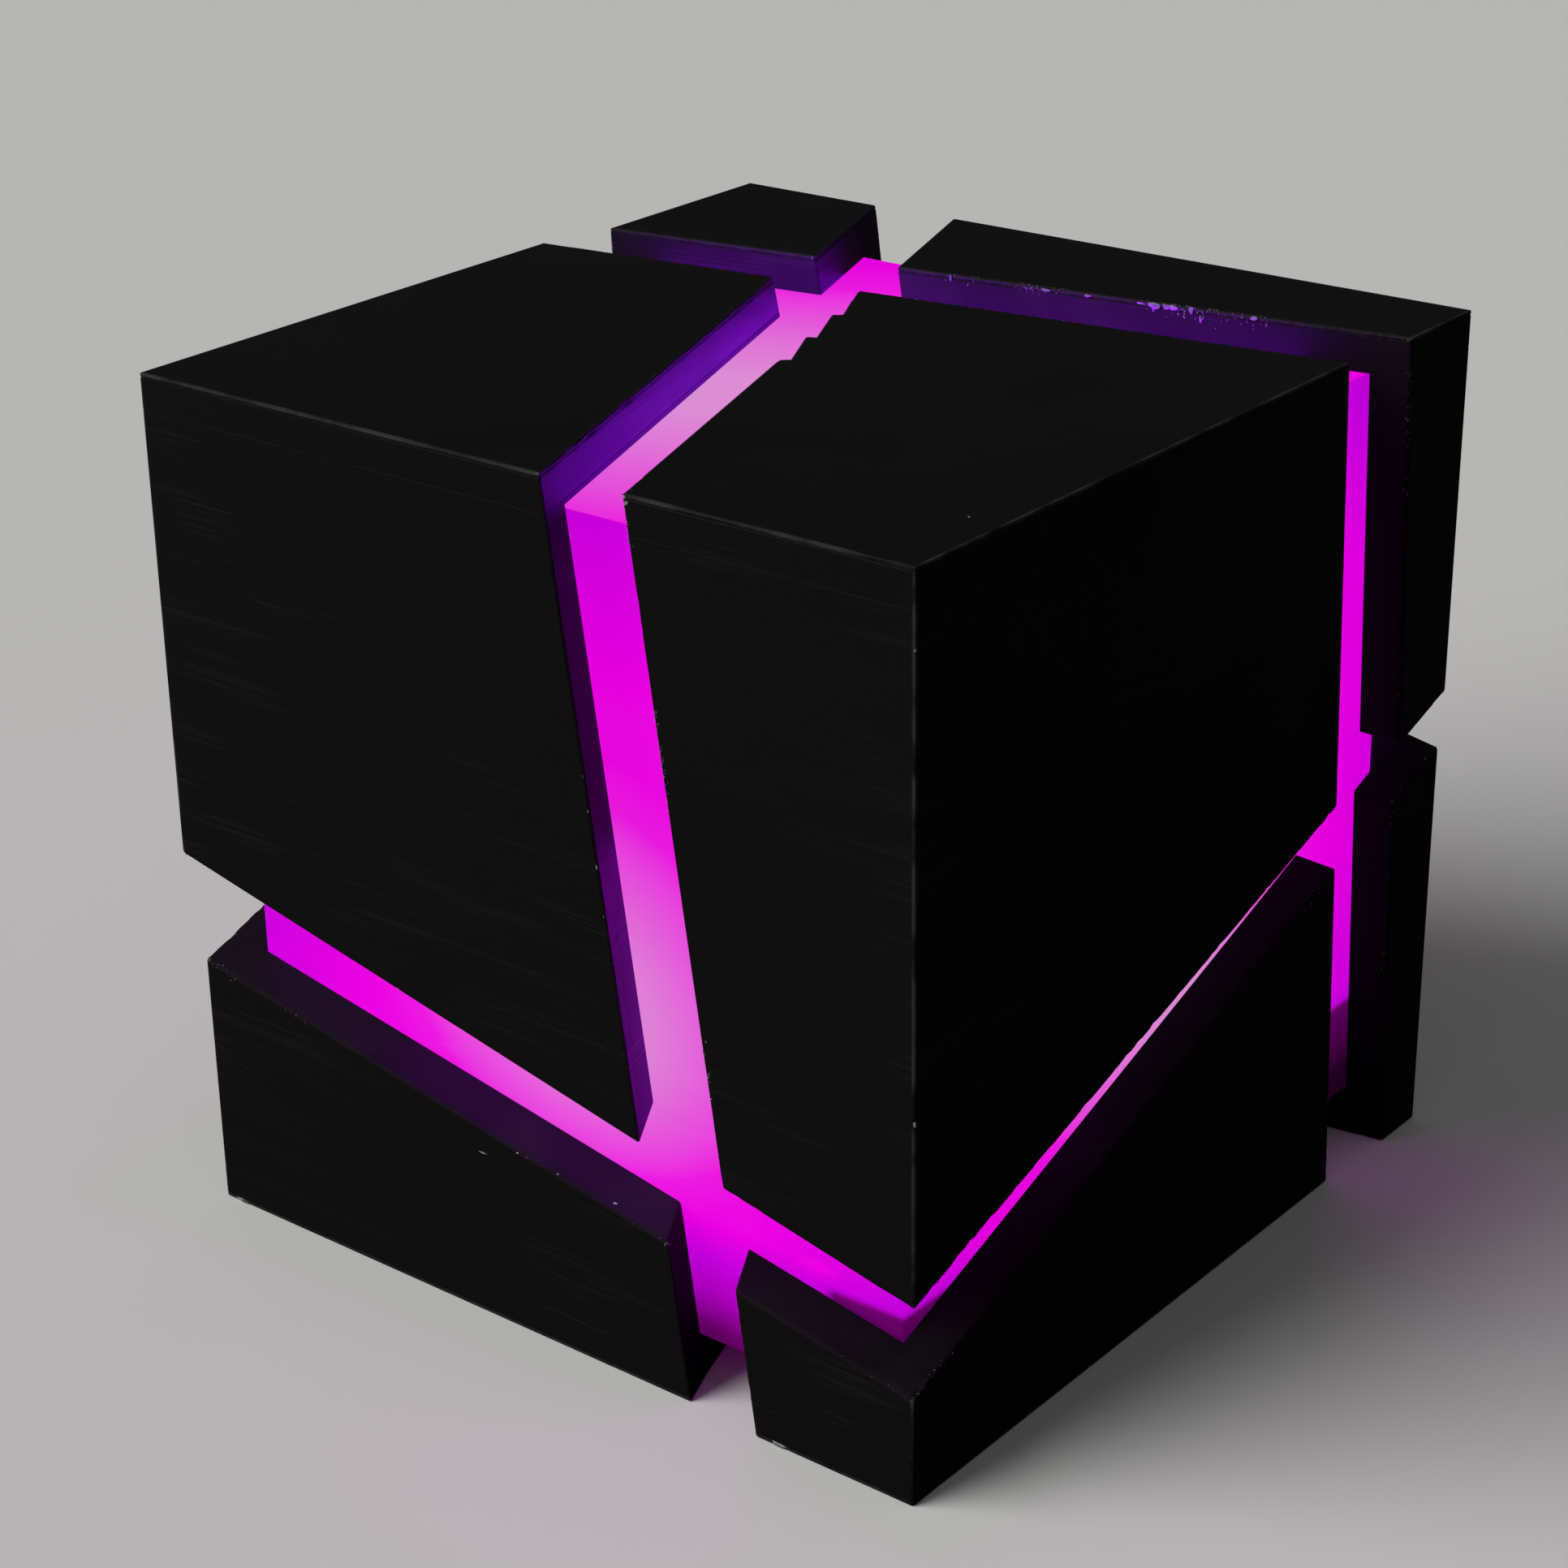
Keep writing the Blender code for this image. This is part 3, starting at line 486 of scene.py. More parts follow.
def make_shard_material(shard, printing):
    """Matt black printed plastic: layer ridges, worn edges with a painted highlight, flecks, torn
    cut faces.
    """
    finish = Finish(f"printed black {shard}", marks=36.0, layer=printing.layer_height)
    corner = outer_corner(shard)
    edge = finish.effect(edge_line, corner=corner, width=printing.edge_width)["Edge"]
    flecks = finish.effect(specks, spacing=3.2 * MM, amount=0.05, size=0.045)["Specks"]

    # Cut faces slant, so their normal leans away from every axis
    normal = finish.add("ShaderNodeNewGeometry", {}).outputs["True Normal"]
    leaning = [finish.size(part) for part in finish.parts(normal)]
    straight = finish.calc("MAXIMUM", finish.calc("MAXIMUM", *leaning[:2]), leaning[2])
    cut = finish.under(straight, CUT_FACE_LEAN)
    streaks = finish.times(finish.streaks, finish.under(leaning[2], 0.6))

    # The cut faces are torn paler just under the top or bottom of the cube
    drop = finish.away(finish.parts()[2], corner.z)
    ragged = finish.scaled(finish.noise(1100.0, 3.0), 1.3 * MM, drop)
    fringe = finish.times(finish.ramp(ragged, 1.35 * MM, 0.75 * MM), cut)
    # Painted highlight: the outer edges are painted paler, partly as rubbing and partly as the
    # light that their rounding catches.
    rubbed = finish.times(edge, finish.ramp(finish.noise(170.0, 3.0), 0.36, 0.62))
    mottle = finish.times(finish.ramp(finish.smudges, 0.2, 0.9), cut)

    # The cut faces' black carries a painted violet cast, standing in for the core's light falling
    # on them.
    colour = finish.blend(cut, printing.shard_colour, printing.cut_colour)
    for mask, strength in ((fringe, 0.28), (streaks, 0.15), (rubbed, 0.8), (mottle, 0.08)):
        colour = finish.blend(finish.times(mask, strength), colour, printing.worn_and_highlight_colour)
    finish.tint(flecks, colour, printing.fleck_colour)
    rough = finish.scaled(finish.smudges, 0.10, printing.shard_roughness)
    finish.roughen(streaks, -0.08, rough)
    finish.set("Specular IOR Level", 0.05)
    height = finish.scaled(streaks, 0.5, finish.times(finish.ridges, 0.35))
    finish.bump(finish.scaled(finish.grain, 0.25, height), 0.05 * MM)
    return finish.material


def make_crumb_material(name, pale):
    """Stress-whitened flakes of the shards' plastic."""
    finish = Finish(name)
    cloudy = finish.noise(900.0)
    dark = [part * 0.25 for part in pale]
    finish.tint(finish.ramp(cloudy, 0.35, 0.65), dark, pale)
    finish.roughen(cloudy, 0.3, 0.35)
    return finish.material


def smear_on_core(finish):
    """A paler smear of the milky plastic near the front right foot of the core."""
    off = finish.vector("SUBTRACT", finish.place, SMEAR_MIDDLE)
    reach = finish.vector("LENGTH", finish.vector("DIVIDE", off, SMEAR_HALF_SIZE))
    ragged = finish.scaled(finish.noise(700.0), 0.8, -0.4)
    return finish.ramp(finish.calc("ADD", reach, ragged), 1.0, 0.5)


def light_on_walls(finish, glow):
    """How much light reaches a side wall: most at the middle diodes, least at the foot."""
    across, depth, height = finish.parts()
    across_size, depth_size = finish.size(across), finish.size(depth)
    end_wall = finish.calc("GREATER_THAN", depth_size, across_size)
    along = finish.choose(end_wall, depth, finish.calc("SUBTRACT", across, glow.spot_offset))
    over = finish.calc("SUBTRACT", height, glow.spot_height)
    below = finish.times(finish.calc("MINIMUM", over, 0.0), 1.45)
    rise = finish.calc("ADD", finish.calc("MAXIMUM", over, 0.0), below)
    radius = glow.side_spot_radius
    spot = finish.ramp(finish.reach(along, rise), radius, 0.32 * radius, False)

    # Walls dim a little at their upper ends and corners, and more at the foot and the bosses
    foot = finish.ramp(height, CORE_LOW.z - 7 * MM, CORE_LOW.z + glow.foot_height, False)
    head = finish.ramp(height, CORE_HIGH.z + 95 * MM, CORE_HIGH.z - 25 * MM, False)
    corner = finish.calc("MINIMUM", across_size, depth_size)
    rim = finish.ramp(corner, 150 * MM, 30 * MM, False)
    boss_top = finish.ramp(height, *(CORE_LOW.z + top for top in BOSS_TOP))
    boss = finish.times(finish.ramp(corner, *BOSS_SIDES), boss_top)
    plain = finish.times(head, rim, foot, finish.scaled(boss, -BOSS_SHADE, 1.0))
    right_wall = finish.calc("GREATER_THAN", across, CORE_HIGH.x - 0.5 * MM)
    brighter = finish.times(right_wall, finish.ramp(height, *RIGHT_WALL_RISE))
    level = finish.times(plain, finish.scaled(brighter, RIGHT_WALL_LIFT, WALL_LEVEL))
    return finish.scaled(spot, WALL_SPOT_LEVEL, level)


def light_on_top(finish, glow):
    """How much light reaches the top wall."""
    reach = finish.vector(
        "DISTANCE", finish.vector("MULTIPLY", finish.place, (1, 1, 0)), TOP_SPOT_SHIFT
    )
    spot = finish.ramp(reach, glow.top_spot_radius, 8 * MM, False)
    return finish.scaled(spot, TOP_SPOT_LEVEL, TOP_LEVEL)


def make_core_material(glow):
    """Milky plastic lit from inside, whitest where the diodes sit closest behind the wall."""
    finish = Finish("lit milky plastic", layer=LAYER)
    height = finish.parts()[2]
    on_top = finish.ramp(height, CORE_HIGH.z - 0.6 * MM, CORE_HIGH.z - 0.3 * MM)
    level = finish.choose(on_top, light_on_walls(finish, glow), light_on_top(finish, glow))
    cloud = finish.calc("SUBTRACT", finish.noise(60.0, 3.0), 0.5)
    smear = smear_on_core(finish)
    for mask, strength in ((cloud, 0.03), (finish.streaks, 0.014), (smear, 0.05)):
        level = finish.scaled(mask, strength, level)

    ramp = finish.add("ShaderNodeValToRGB", {0: level})
    stops = ramp.color_ramp.elements
    while len(stops) < len(GLOW_SHADES):
        stops.new(0.5)
    for stop, (position, shade) in zip(stops, GLOW_SHADES):
        stop.position = position
        stop.color = (*shade, 1)
    finish.set("Emission Color", ramp.outputs[0])
    finish.set("Emission Strength", glow.strength)

    # Painted glow: the milky plastic's base colour is tinted magenta like the core's own light.
    milky = glow.glow_tinted_plastic_colour
    paler = [min(1.0, part * 1.3) for part in milky]
    finish.tint(finish.streaks, milky, paler)
    finish.roughen(finish.streaks, 0.08, 0.62)
    finish.set("Specular IOR Level", 0.0)
    finish.bump(finish.ridges, 0.02 * MM)
    return finish.material


def make_plastic(name, colour, roughness, scale=60.0, specular=0.5):
    """Moulded plastic with a fine grain and soft handling marks."""
    finish = Finish(name, marks=scale)
    paler = [min(1.0, part * 1.25 + 0.01) for part in colour]
    finish.tint(finish.smudges, colour, paler)
    finish.roughen(finish.smudges, 0.12, roughness)
    finish.set("Specular IOR Level", specular)
    finish.bump(finish.grain, 0.02 * MM, 0.15)
    return finish.material


def make_metal(name, colour, roughness, stretch):
    """Plated metal with fine lines along one way and faint tarnish."""
    finish = Finish(name, marks=180.0)
    lines = finish.noise(1.0, 3.0, stretch=stretch)
    finish.tint(finish.smudges, colour, [part * 0.72 for part in colour])
    finish.roughen(lines, 0.16, roughness)
    finish.set("Metallic", 1.0)
    finish.bump(lines, 0.01 * MM, 0.5)
    return finish.material


def wrapped(finish, value, pitch):
    """A value that starts again every pitch, from minus half of it to half."""
    return finish.calc("WRAP", value, pitch / 2, -pitch / 2)


def place_on_strip(finish, shift=0.0):
    """How far a point is from a strip's middle line, and from the nearest diode's height or from
    marks as often repeated."""
    across, depth, height = finish.parts()
    side = finish.calc("MINIMUM", finish.size(across), finish.size(depth))
    from_first = finish.calc("SUBTRACT", height, FIRST_DIODE + shift)
    return side, wrapped(finish, from_first, DIODE_PITCH)


def make_strip_material():
    """White solder mask with copper pads where the strip may be cut."""
    finish = Finish("white solder mask", marks=90.0)
    side, rise = place_on_strip(finish, DIODE_PITCH / 2)
    seam = finish.size(rise)
    on_pad = finish.under(finish.away(side, PAD_OFFSET), PAD_HALF_WIDTH)
    pad = finish.times(on_pad, finish.under(seam, PAD_HALF_LENGTH))
    trace = finish.under(finish.away(side, TRACE_OFFSET), TRACE_HALF_WIDTH)
    white = finish.blend(finish.smudges, (0.84, 0.84, 0.82), (0.76, 0.76, 0.74))
    white = finish.blend(finish.times(trace, 0.35), white, (0.62, 0.60, 0.52))
    copper = finish.blend(finish.smudges, (0.78, 0.42, 0.24), (0.55, 0.27, 0.15))
    colour = finish.blend(pad, white, copper)
    gap = finish.under(seam, SEAM_HALF_WIDTH)
    finish.tint(gap, colour, (0.05, 0.05, 0.05))
    finish.set("Metallic", pad)
    finish.roughen(finish.smudges, 0.10, 0.32)
    finish.bump(finish.scaled(trace, 0.8, finish.times(pad, -0.6)), 0.04 * MM)
    return finish.material


def make_diode_material():
    """White moulded case, and a clear window over the lit dies."""
    finish = Finish("diode case and window", marks=220.0)
    reach = finish.reach(*place_on_strip(finish))
    window = finish.ramp(reach, *WINDOW_EDGE)
    die = finish.ramp(reach, *DIE_EDGE)
    case = finish.blend(finish.smudges, (0.93, 0.92, 0.86), (0.84, 0.82, 0.74))
    lens = finish.blend(die, (0.72, 0.60, 0.74), (0.95, 0.80, 0.95))
    finish.tint(window, case, lens)
    light = finish.blend(die, (0.35, 0.0, 0.40), (1.0, 0.35, 0.95))
    finish.set("Emission Color", finish.blend(window, (0.0, 0.0, 0.0), light))
    finish.set("Emission Strength", 1.0)
    finish.roughen(window, -0.16, 0.34)
    finish.bump(finish.grain, 0.01 * MM)
    finish.material.cycles.emission_sampling = "NONE"
    return finish.material


def make_board_material():
    """Green solder mask over copper traces that run in two ways, and a column of tinned holes."""
    finish = Finish("green solder mask", marks=110.0)
    across, _, height = finish.parts()
    here = finish.calc("GREATER_THAN", finish.noise(190.0, 0.0), 0.5)
    lines = []
    for part in (across, height):
        off = finish.size(wrapped(finish, part, BOARD_TRACE_PITCH))
        lines.append(finish.under(off, BOARD_TRACE_HALF_WIDTH))
    trace = finish.choose(here, *lines)
    column = finish.calc("SUBTRACT", across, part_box("control_board")[0].x + HOLE_INSET)
    reach = finish.reach(column, wrapped(finish, height, HOLE_PITCH))
    ring = finish.under(reach, HOLE_RING_RADIUS)
    hole = finish.under(reach, HOLE_RADIUS)
    colour = finish.blend(finish.smudges, (0.012, 0.13, 0.05), (0.02, 0.17, 0.07))
    # The holes are painted near black: painted shade for their depth, together with a sunken bump.
    for mask, shade in (
        (trace, (0.03, 0.24, 0.10)),
        (ring, (0.70, 0.69, 0.66)),
        (hole, (0.02, 0.02, 0.02)),
    ):
        colour = finish.blend(mask, colour, shade)
    finish.set("Base Color", colour)
    finish.set("Metallic", finish.calc("SUBTRACT", ring, hole, clamp=True))
    finish.roughen(finish.smudges, 0.12, 0.28)
    finish.bump(finish.scaled(hole, -2.0, finish.calc("ADD", trace, ring)), 0.03 * MM)
    return finish.material


def make_printed_white():
    """White printed plastic of the light post, with its layer ridges."""
    finish = Finish("white printed plastic", marks=50.0, layer=LAYER)
    white = finish.blend(finish.smudges, (0.80, 0.80, 0.78), (0.72, 0.72, 0.69))
    finish.tint(finish.times(finish.streaks, 0.4), white, (0.62, 0.62, 0.60))
    finish.roughen(finish.smudges, 0.10, 0.48)
    finish.bump(finish.ridges, 0.03 * MM)
    return finish.material


# Settings


def length(name, description, default):
    return FloatProperty(
        name=name, description=description, default=default, unit="LENGTH", precision=5
    )


def colour(name, description, default):
    return FloatVectorProperty(
        name=name, description=description, default=default, subtype="COLOR"
    )


def angle(name, description, degrees):
    default = math.radians(degrees)
    return FloatProperty(name=name, description=description, default=default, subtype="ANGLE")


def amount(name, description, default, subtype="NONE"):
    return FloatProperty(name=name, description=description, default=default, subtype=subtype)


class PrintSettings(bpy.types.PropertyGroup):
    """How the shards were printed and worn."""

    layer_height: length("Layer height", "Height of one printed layer", 0.2 * MM)
    # The paler line along the outer edges is partly wear and partly a painted highlight.
    edge_width: length("Edge wear and highlight", "Width of the paler line along the outer edges", 0.55 * MM)
    shard_colour: colour(
        "Shard colour", "The black of the printed plastic", (0.0044, 0.0036, 0.0035)
    )
    # Its violet cast is painted light, standing in for the core's glow on the cut faces.
    cut_colour: colour(
        "Cut face colour", "The rougher black of the slanted faces", (0.0046, 0.0022, 0.0050)
    )
    # This grey paints wear and pale layers, and also the painted highlight along the outer edges.
    worn_and_highlight_colour: colour(
        "Wear and highlight colour", "The grey of rubbed edges and pale layers", (0.040, 0.038, 0.036)
    )
    fleck_colour: colour("Fleck colour", "Stress-white flecks and flakes", (0.30, 0.29, 0.28))
    shard_roughness: amount("Shard roughness", "Roughness of the matt plastic", 0.60, "FACTOR")
    fray_length: length("Fray length", "Spacing of the frays along a cut edge", 0.9 * MM)
    fray_depth: length("Fray depth", "How deep the cut edges have frayed", 0.16 * MM)
    fray_border: length("Fray border", "Width of cut face that the frays tear", 0.5 * MM)
    crumb_size: length("Flake size", "Radius of the flakes along the cut edges", 0.13 * MM)
    first_layer_groove: length(
        "First layer groove", "Depth of the line under the first layer's lip", 0.14 * MM
    )
    solid_layer_groove: length(
        "Solid layer groove", "Depth of the line where the solid layers end", 0.05 * MM
    )


class GlowSettings(bpy.types.PropertyGroup):
    """How the core glows, and how it lights the shards."""

    strength: amount("Glow strength", "Emission strength of the core", 1.0)
    # Painted glow: this base colour is tinted magenta like the core's own light.
    glow_tinted_plastic_colour: colour(
        "Core colour", "The core's plastic under white light", (0.06, 0.001, 0.057)
    )
    spot_height: length("Spot height", "Height of the middle diodes", 46 * MM)
    spot_offset: length("Spot offset", "How far right of the middle the spot sits", 4 * MM)
    side_spot_radius: length("Side spot", "Reach of the white spot on the walls", 37 * MM)
    top_spot_radius: length("Top spot", "Reach of the white spot on the top wall", 66 * MM)
    foot_height: length("Foot height", "How far up the lid's lip dims the glow", 18 * MM)
    wall_light: amount("Wall light", "Scale of the light thrown on the cut faces", 1.0)


class StageSettings(bpy.types.PropertyGroup):
    """The floor, the lights and the camera."""

    floor_colour: colour("Floor colour", "The plain pale floor", (0.80, 0.79, 0.77))
    key_strength: amount("Key light", "Strength of the broad soft key light", 2.95)
    room_strength: amount("Room light", "Strength of the even light all round", 0.13)
    azimuth: angle("Azimuth", "Angle round the lamp that the camera looks along", 39.926)
    elevation: angle("Elevation", "Angle that the camera looks down", 23.776)
    roll: angle("Roll", "Turn of the camera about its view", -1.364)
    distance: length("Distance", "From the camera to what it looks at", 0.47374)
    focal_length: amount("Focal length", "Lens of the camera in millimetres", 80.04)


# Objects and meshes


def add_object(name, data):
    """A new object in the scene, at the origin."""
    made = bpy.data.objects.new(name, data)
    bpy.context.scene.collection.objects.link(made)
    return made


def mesh_from(bm, name, material):
    mesh = bpy.data.meshes.new(name)
    bm.to_mesh(mesh)
    bm.free()
    mesh.materials.append(material)
    return mesh


def finish_piece(bm, name, material, body, replaced=()):
    """Makes a mesh an object at the origin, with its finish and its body."""
    piece = add_object(name, mesh_from(bm, name, material))
    if replaced:
        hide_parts(*replaced)
    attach(piece, body)


def merged_copy(node):
    """A node's mesh as one joined surface, with a single face on each flat side."""
    bm = bmesh.new()
    bm.from_mesh(frame["nodes"][node].data)
    bmesh.ops.remove_doubles(bm, verts=bm.verts[:], dist=0.001 * MM)
    bmesh.ops.dissolve_limit(
        bm, angle_limit=math.radians(0.3), verts=bm.verts[:], edges=bm.edges[:]
    )
    return bm


def held_in(point, low, high):
    """A point moved no further than the walls of a box."""
    return Vector([min(max(point[axis], low[axis]), high[axis]) for axis in range(3)])


# Printed shards


def cut_faces(bm):
    """The slanted faces that the slits leave."""
    found = []
    for face in bm.faces:
        straight = max(abs(part) for part in face.normal)
        if face.calc_area() > CUT_FACE_AREA and straight < CUT_FACE_LEAN:
            found.append(face)
    return found


def chip_depth(point, printing):
    """How far an edge has crumbled at a point: a fine fray, and a bite here and there."""
    fray = max(0.0, waver(point / printing.fray_length))
    bite = max(0.0, waver(point / (7 * printing.fray_length) + Vector((3, 1, 4))) - 0.3)
    return printing.fray_depth * (fray + 1.4 * bite)


def step_depth(point):
    """The staircase left where the slicer stepped one slanted edge of the upper front shard."""
    along = (point.y - STEPS_START) / STEP_RUN
    if not 0 < along < STEP_COUNT:
        return 0.0
    return STEP_RISE * (1 - along % 1.0)


def run_of(edge):
    """An edge's middle, its way and its length."""
    start, end = (vert.co for vert in edge.verts)
    return (start + end) / 2, (end - start).normalized(), (end - start).length


def rim_edges(edges, way, centre, corner):
    """The edges that run along a cut face's outer rim, on the face and on its rounding."""
    found = []
    for edge in edges:
        middle, run, _ = run_of(edge)
        near = max(abs((vert.co - centre).dot(way)) for vert in edge.verts)
        outer = min(abs(part) for part in middle - corner) < RIM_REACH
        if outer and abs(run.dot(way)) < 0.05 and near < RIM_REACH:
            found.append(edge)
    return found


def ladder_of(edge, edges, reach):
    """The edges beside one edge that run the same way, so all can be cut into the same steps."""
    middle, run, size = run_of(edge)
    found = []
    for other in edges:
        other_middle, other_run, other_size = run_of(other)
        off = other_middle - middle
        same_way = abs(run.dot(other_run)) > 0.999 and 0.8 < other_size / size < 1.25
        if same_way and off.length < reach + 0.1 * size and off.cross(run).length < reach:
            found.append(other)
    return found


def way_in(point, way, corner):
    """The way that a point's frays go: off the cut face, but along the outer face beside it."""
    away = point - corner
    outer_axis = min(range(3), key=lambda axis: abs(away[axis]))
    inward = -way
    inward[outer_axis] = 0
    return inward


def roughen_cut_edges(bm, shard, printing):
    """Frays the outer edges of the cut faces; returns the points along them and their ways."""
    corner = outer_corner(shard)
    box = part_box(f"shard_{shard}")
    points = []
    cuts = [(face, face.normal.copy(), face.calc_center_median()) for face in cut_faces(bm)]
    for face, way, centre in cuts:
        stepped = shard == "upper_right_front" and way.x < -0.8
        border = STEP_BORDER if stepped else printing.fray_border
        spacing = printing.fray_length * (0.4 if stepped else 1.0)
        bmesh.ops.inset_individual(bm, faces=[face], thickness=border, use_even_offset=True)
        long_edges = [edge for edge in bm.edges if edge.calc_length() > LONG_EDGE]
        rims = rim_edges(long_edges, way, centre, corner)
        while rims:
            lead = max(rims, key=lambda edge: edge.calc_length())
            _, along, size = run_of(lead)
            ladder = ladder_of(lead, long_edges, border + 1.0 * MM)
            long_edges = [edge for edge in long_edges if edge not in ladder]
            rims = [edge for edge in rims if edge not in ladder]
            old = set(bm.verts)
            bmesh.ops.subdivide_edges(bm, edges=ladder, cuts=max(1, int(size / spacing)))
            for vert in bm.verts:
                if vert in old or min(abs(part) for part in vert.co - corner) > RIM_REACH:
                    continue
                depth = chip_depth(vert.co, printing)
                if stepped and abs(vert.co.z - corner.z) < RIM_REACH:
                    depth += step_depth(vert.co)
                vert.co = held_in(vert.co + way_in(vert.co, way, corner) * depth, *box)
                points.append((vert.co.copy(), way, along))
    bm.normal_update()
    return points


def score_round(bm, height, half_width, depth):
    """A fine groove round the whole piece at a height, as a badly joined printed layer leaves."""
    for offset in (-half_width, 0.0, half_width):
        made = bmesh.ops.bisect_plane(
            bm,
            geom=bm.verts[:] + bm.edges[:] + bm.faces[:],
            dist=0.0001 * MM,
            plane_co=(0, 0, height + offset),
            plane_no=(0, 0, 1),
        )
        if offset == 0.0:
            middle = [item for item in made["geom_cut"] if isinstance(item, bmesh.types.BMVert)]
    bm.normal_update()
    for vert in middle:
        if vert.is_valid:
            out = Vector((vert.normal.x, vert.normal.y, 0))
            if out.length > 0.2:
                vert.co -= out.normalized() * depth


def add_crumb(bm, place, sizes, turn, box):
    """An irregular flake of plastic, a little sphere pulled out of shape inside a box."""
    shape = Matrix.Translation(place) @ turn.to_matrix().to_4x4() @ Matrix.Diagonal((*sizes, 1))
    made = bmesh.ops.create_icosphere(bm, subdivisions=1, radius=1.0, matrix=shape)
    for vert in made["verts"]:
        vert.co += (vert.co - place) * 0.9 * waver(vert.co / (0.8 * min(sizes)))
        vert.co = held_in(vert.co, *box)


def settled(spot, surface, reach):
    """The spot, or the surface's nearest point where the spot is further away than a reach."""
    nearest = surface.find_nearest(spot)[0]
    return nearest if (nearest - spot).length > reach else spot


def rubbed_at(point):
    """How badly the slit's top edge is rubbed at a point."""
    worst = 0.0
    for middle, half, strength in RUBS:
        share = 1 - abs(point.x - middle) / half
        worst = max(worst, strength * min(1.0, 2 * share))
    return worst


def make_crumbs(shard, points, surface, printing, material):
    """The flakes left along a shard's cut edges, thick in some patches and absent in others."""
    low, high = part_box(f"shard_{shard}")
    proud = Vector((1, 1, 1)) * 0.05 * MM
    box = (
        [max(pair) for pair in zip(low - proud, CAD_BOX[0])],
        [min(pair) for pair in zip(high + proud, CAD_BOX[1])],
    )
    bm = bmesh.new()
    for index, (point, way, along) in enumerate(points):
        on_rub = shard == "upper_right_back" and way.y < -0.8 and point.z > high.z - 1.5 * MM
        rubbed = rubbed_at(point) if on_rub else 0.0
        fine = waver(point / (0.7 * MM))
        patch = waver(point / (11 * MM) + Vector((5, 5, 5)))
        bare = patch + 0.5 * fine < 0.40 - 0.9 * rubbed
        if bare or (index % FLAKE_SPACING and rubbed < 0.3):
            continue
        size = printing.crumb_size * (0.4 + 0.8 * abs(fine) + 0.9 * rubbed)
        down = way.cross(along)
        down = down if down.dot((low + high) / 2 - point) > 0 else -down
        spread = abs(waver(point / (0.31 * MM))) * (0.8 + 2.2 * rubbed) * MM
        spot = point + down * (spread + 0.15 * MM) - way * 0.5 * size
        spot = settled(spot, surface, 0.6 * size + 0.05 * MM)
        turn = Euler((7.1 * index, 3.3 * index, 5.7 * index))
        add_crumb(bm, spot, (size * (1.2 + abs(fine)), 0.7 * size, 0.5 * size), turn, box)
    for (which, corner), chips in CHIPS.items():
        if which != shard:
            continue
        base = Vector([(low, high)[side][axis] for axis, side in enumerate(corner)])
        for offset, sizes in chips:
            place = base + Vector(offset) * MM
            nearest = min((rim[0] for rim in points), key=lambda rim: (rim - place).length)
            if (nearest - place).length < SNAP_REACH:
                place = nearest
            place = settled(place, surface, SETTLE_REACH)
            add_crumb(bm, place, [size * MM for size in sizes], Euler(), box)
    finish_piece(bm, f"crumbs_{shard}", material, f"{shard}_shard")


# Small parts of the light and the board, in millimetres


def add_block(bm, low, high, round_by=0.05):
    """A small block with rounded edges between two corners."""
    low, high = Vector(low) * MM, Vector(high) * MM
    sizes = high - low
    shape = Matrix.Translation((low + high) / 2) @ Matrix.Diagonal((*sizes, 1))
    made = bmesh.ops.create_cube(bm, size=1.0, matrix=shape)
    edges = {edge for vert in made["verts"] for edge in vert.link_edges}
    bmesh.ops.bevel(
        bm, geom=list(edges), offset=min(round_by * MM, 0.3 * min(sizes)), segments=2,
        profile=0.5, affect="EDGES", material=-1,
    )


def add_side_block(bm, face, out, reach, depth, rise, round_by):
    """A block beside a face: from and to along the way out of it, then in Y and in Z."""
    sides = sorted(face + out * part for part in reach)
    add_block(bm, (sides[0], depth[0], rise[0]), (sides[1], depth[1], rise[1]), round_by)


def in_millimetres(node):
    low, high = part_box(node)
    return low / MM, high / MM


def make_chip_legs(metal):
    """Bent legs down both sides of the control chip, soldered to the board."""
    low, high = in_millimetres("control_chip")
    face = in_millimetres("control_board")[1].y + 0.02
    bm = bmesh.new()
    for leg in range(8):
        level = low.z + 0.7 + leg * 0.8
        for edge, out in ((low.x, -1), (high.x, 1)):
            for reach, bottom, top in (
                ((0.02, 0.55), 0.55, 0.70),
                ((0.42, 0.58), 0.0, 0.70),
                ((0.42, 1.25), 0.0, 0.15),
            ):
                depth, rise = (face + bottom, face + top), (level - 0.15, level + 0.15)
                add_side_block(bm, edge, out, reach, depth, rise, 0.03)
    finish_piece(bm, "chip_legs", metal, "core")


def make_board_parts(glaze, tin):
    """Chip resistors in two rows beside the inlet, with their tinned ends."""
    low, high = in_millimetres("control_board")
    face = high.y + 0.02
    rows = [(low.x + 4.6, 31.0 + 2.4 * step) for step in range(6)]
    rows += [(high.x - 3.4, 26.0 + 2.4 * step) for step in range(5)]
    bodies, ends = bmesh.new(), bmesh.new()
    for across, level in rows:
        add_block(
            bodies, (across - 0.65, face, level - 0.6), (across + 0.65, face + 0.5, level + 0.6)
        )
        depth, rise = (face, face + 0.53), (level - 0.62, level + 0.62)
        for side in (-1, 1):
            add_side_block(ends, across, side, (0.67, 1.05), depth, rise, 0.08)
    finish_piece(bodies, "board_resistors", glaze, "core")
    finish_piece(ends, "board_resistor_ends", tin, "core")


def make_inlet_contacts(metal):
    """Contact strips on both faces of the inlet's tongue."""
    low, high = in_millimetres("power_inlet_tongue")
    bm = bmesh.new()
    for face, out in ((low.x, -1), (high.x, 1)):
        for strip in range(6):
            level = low.z + 0.95 + 0.96 * strip
            depth = (low.y + 1.2, high.y - (0.35 if strip in (0, 5) else 0.8))
            rise = (level - 0.17, level + 0.17)
            add_side_block(bm, face, out, (0.01, 0.09), depth, rise, 0.02)
    finish_piece(bm, "inlet_contacts", metal, "core")


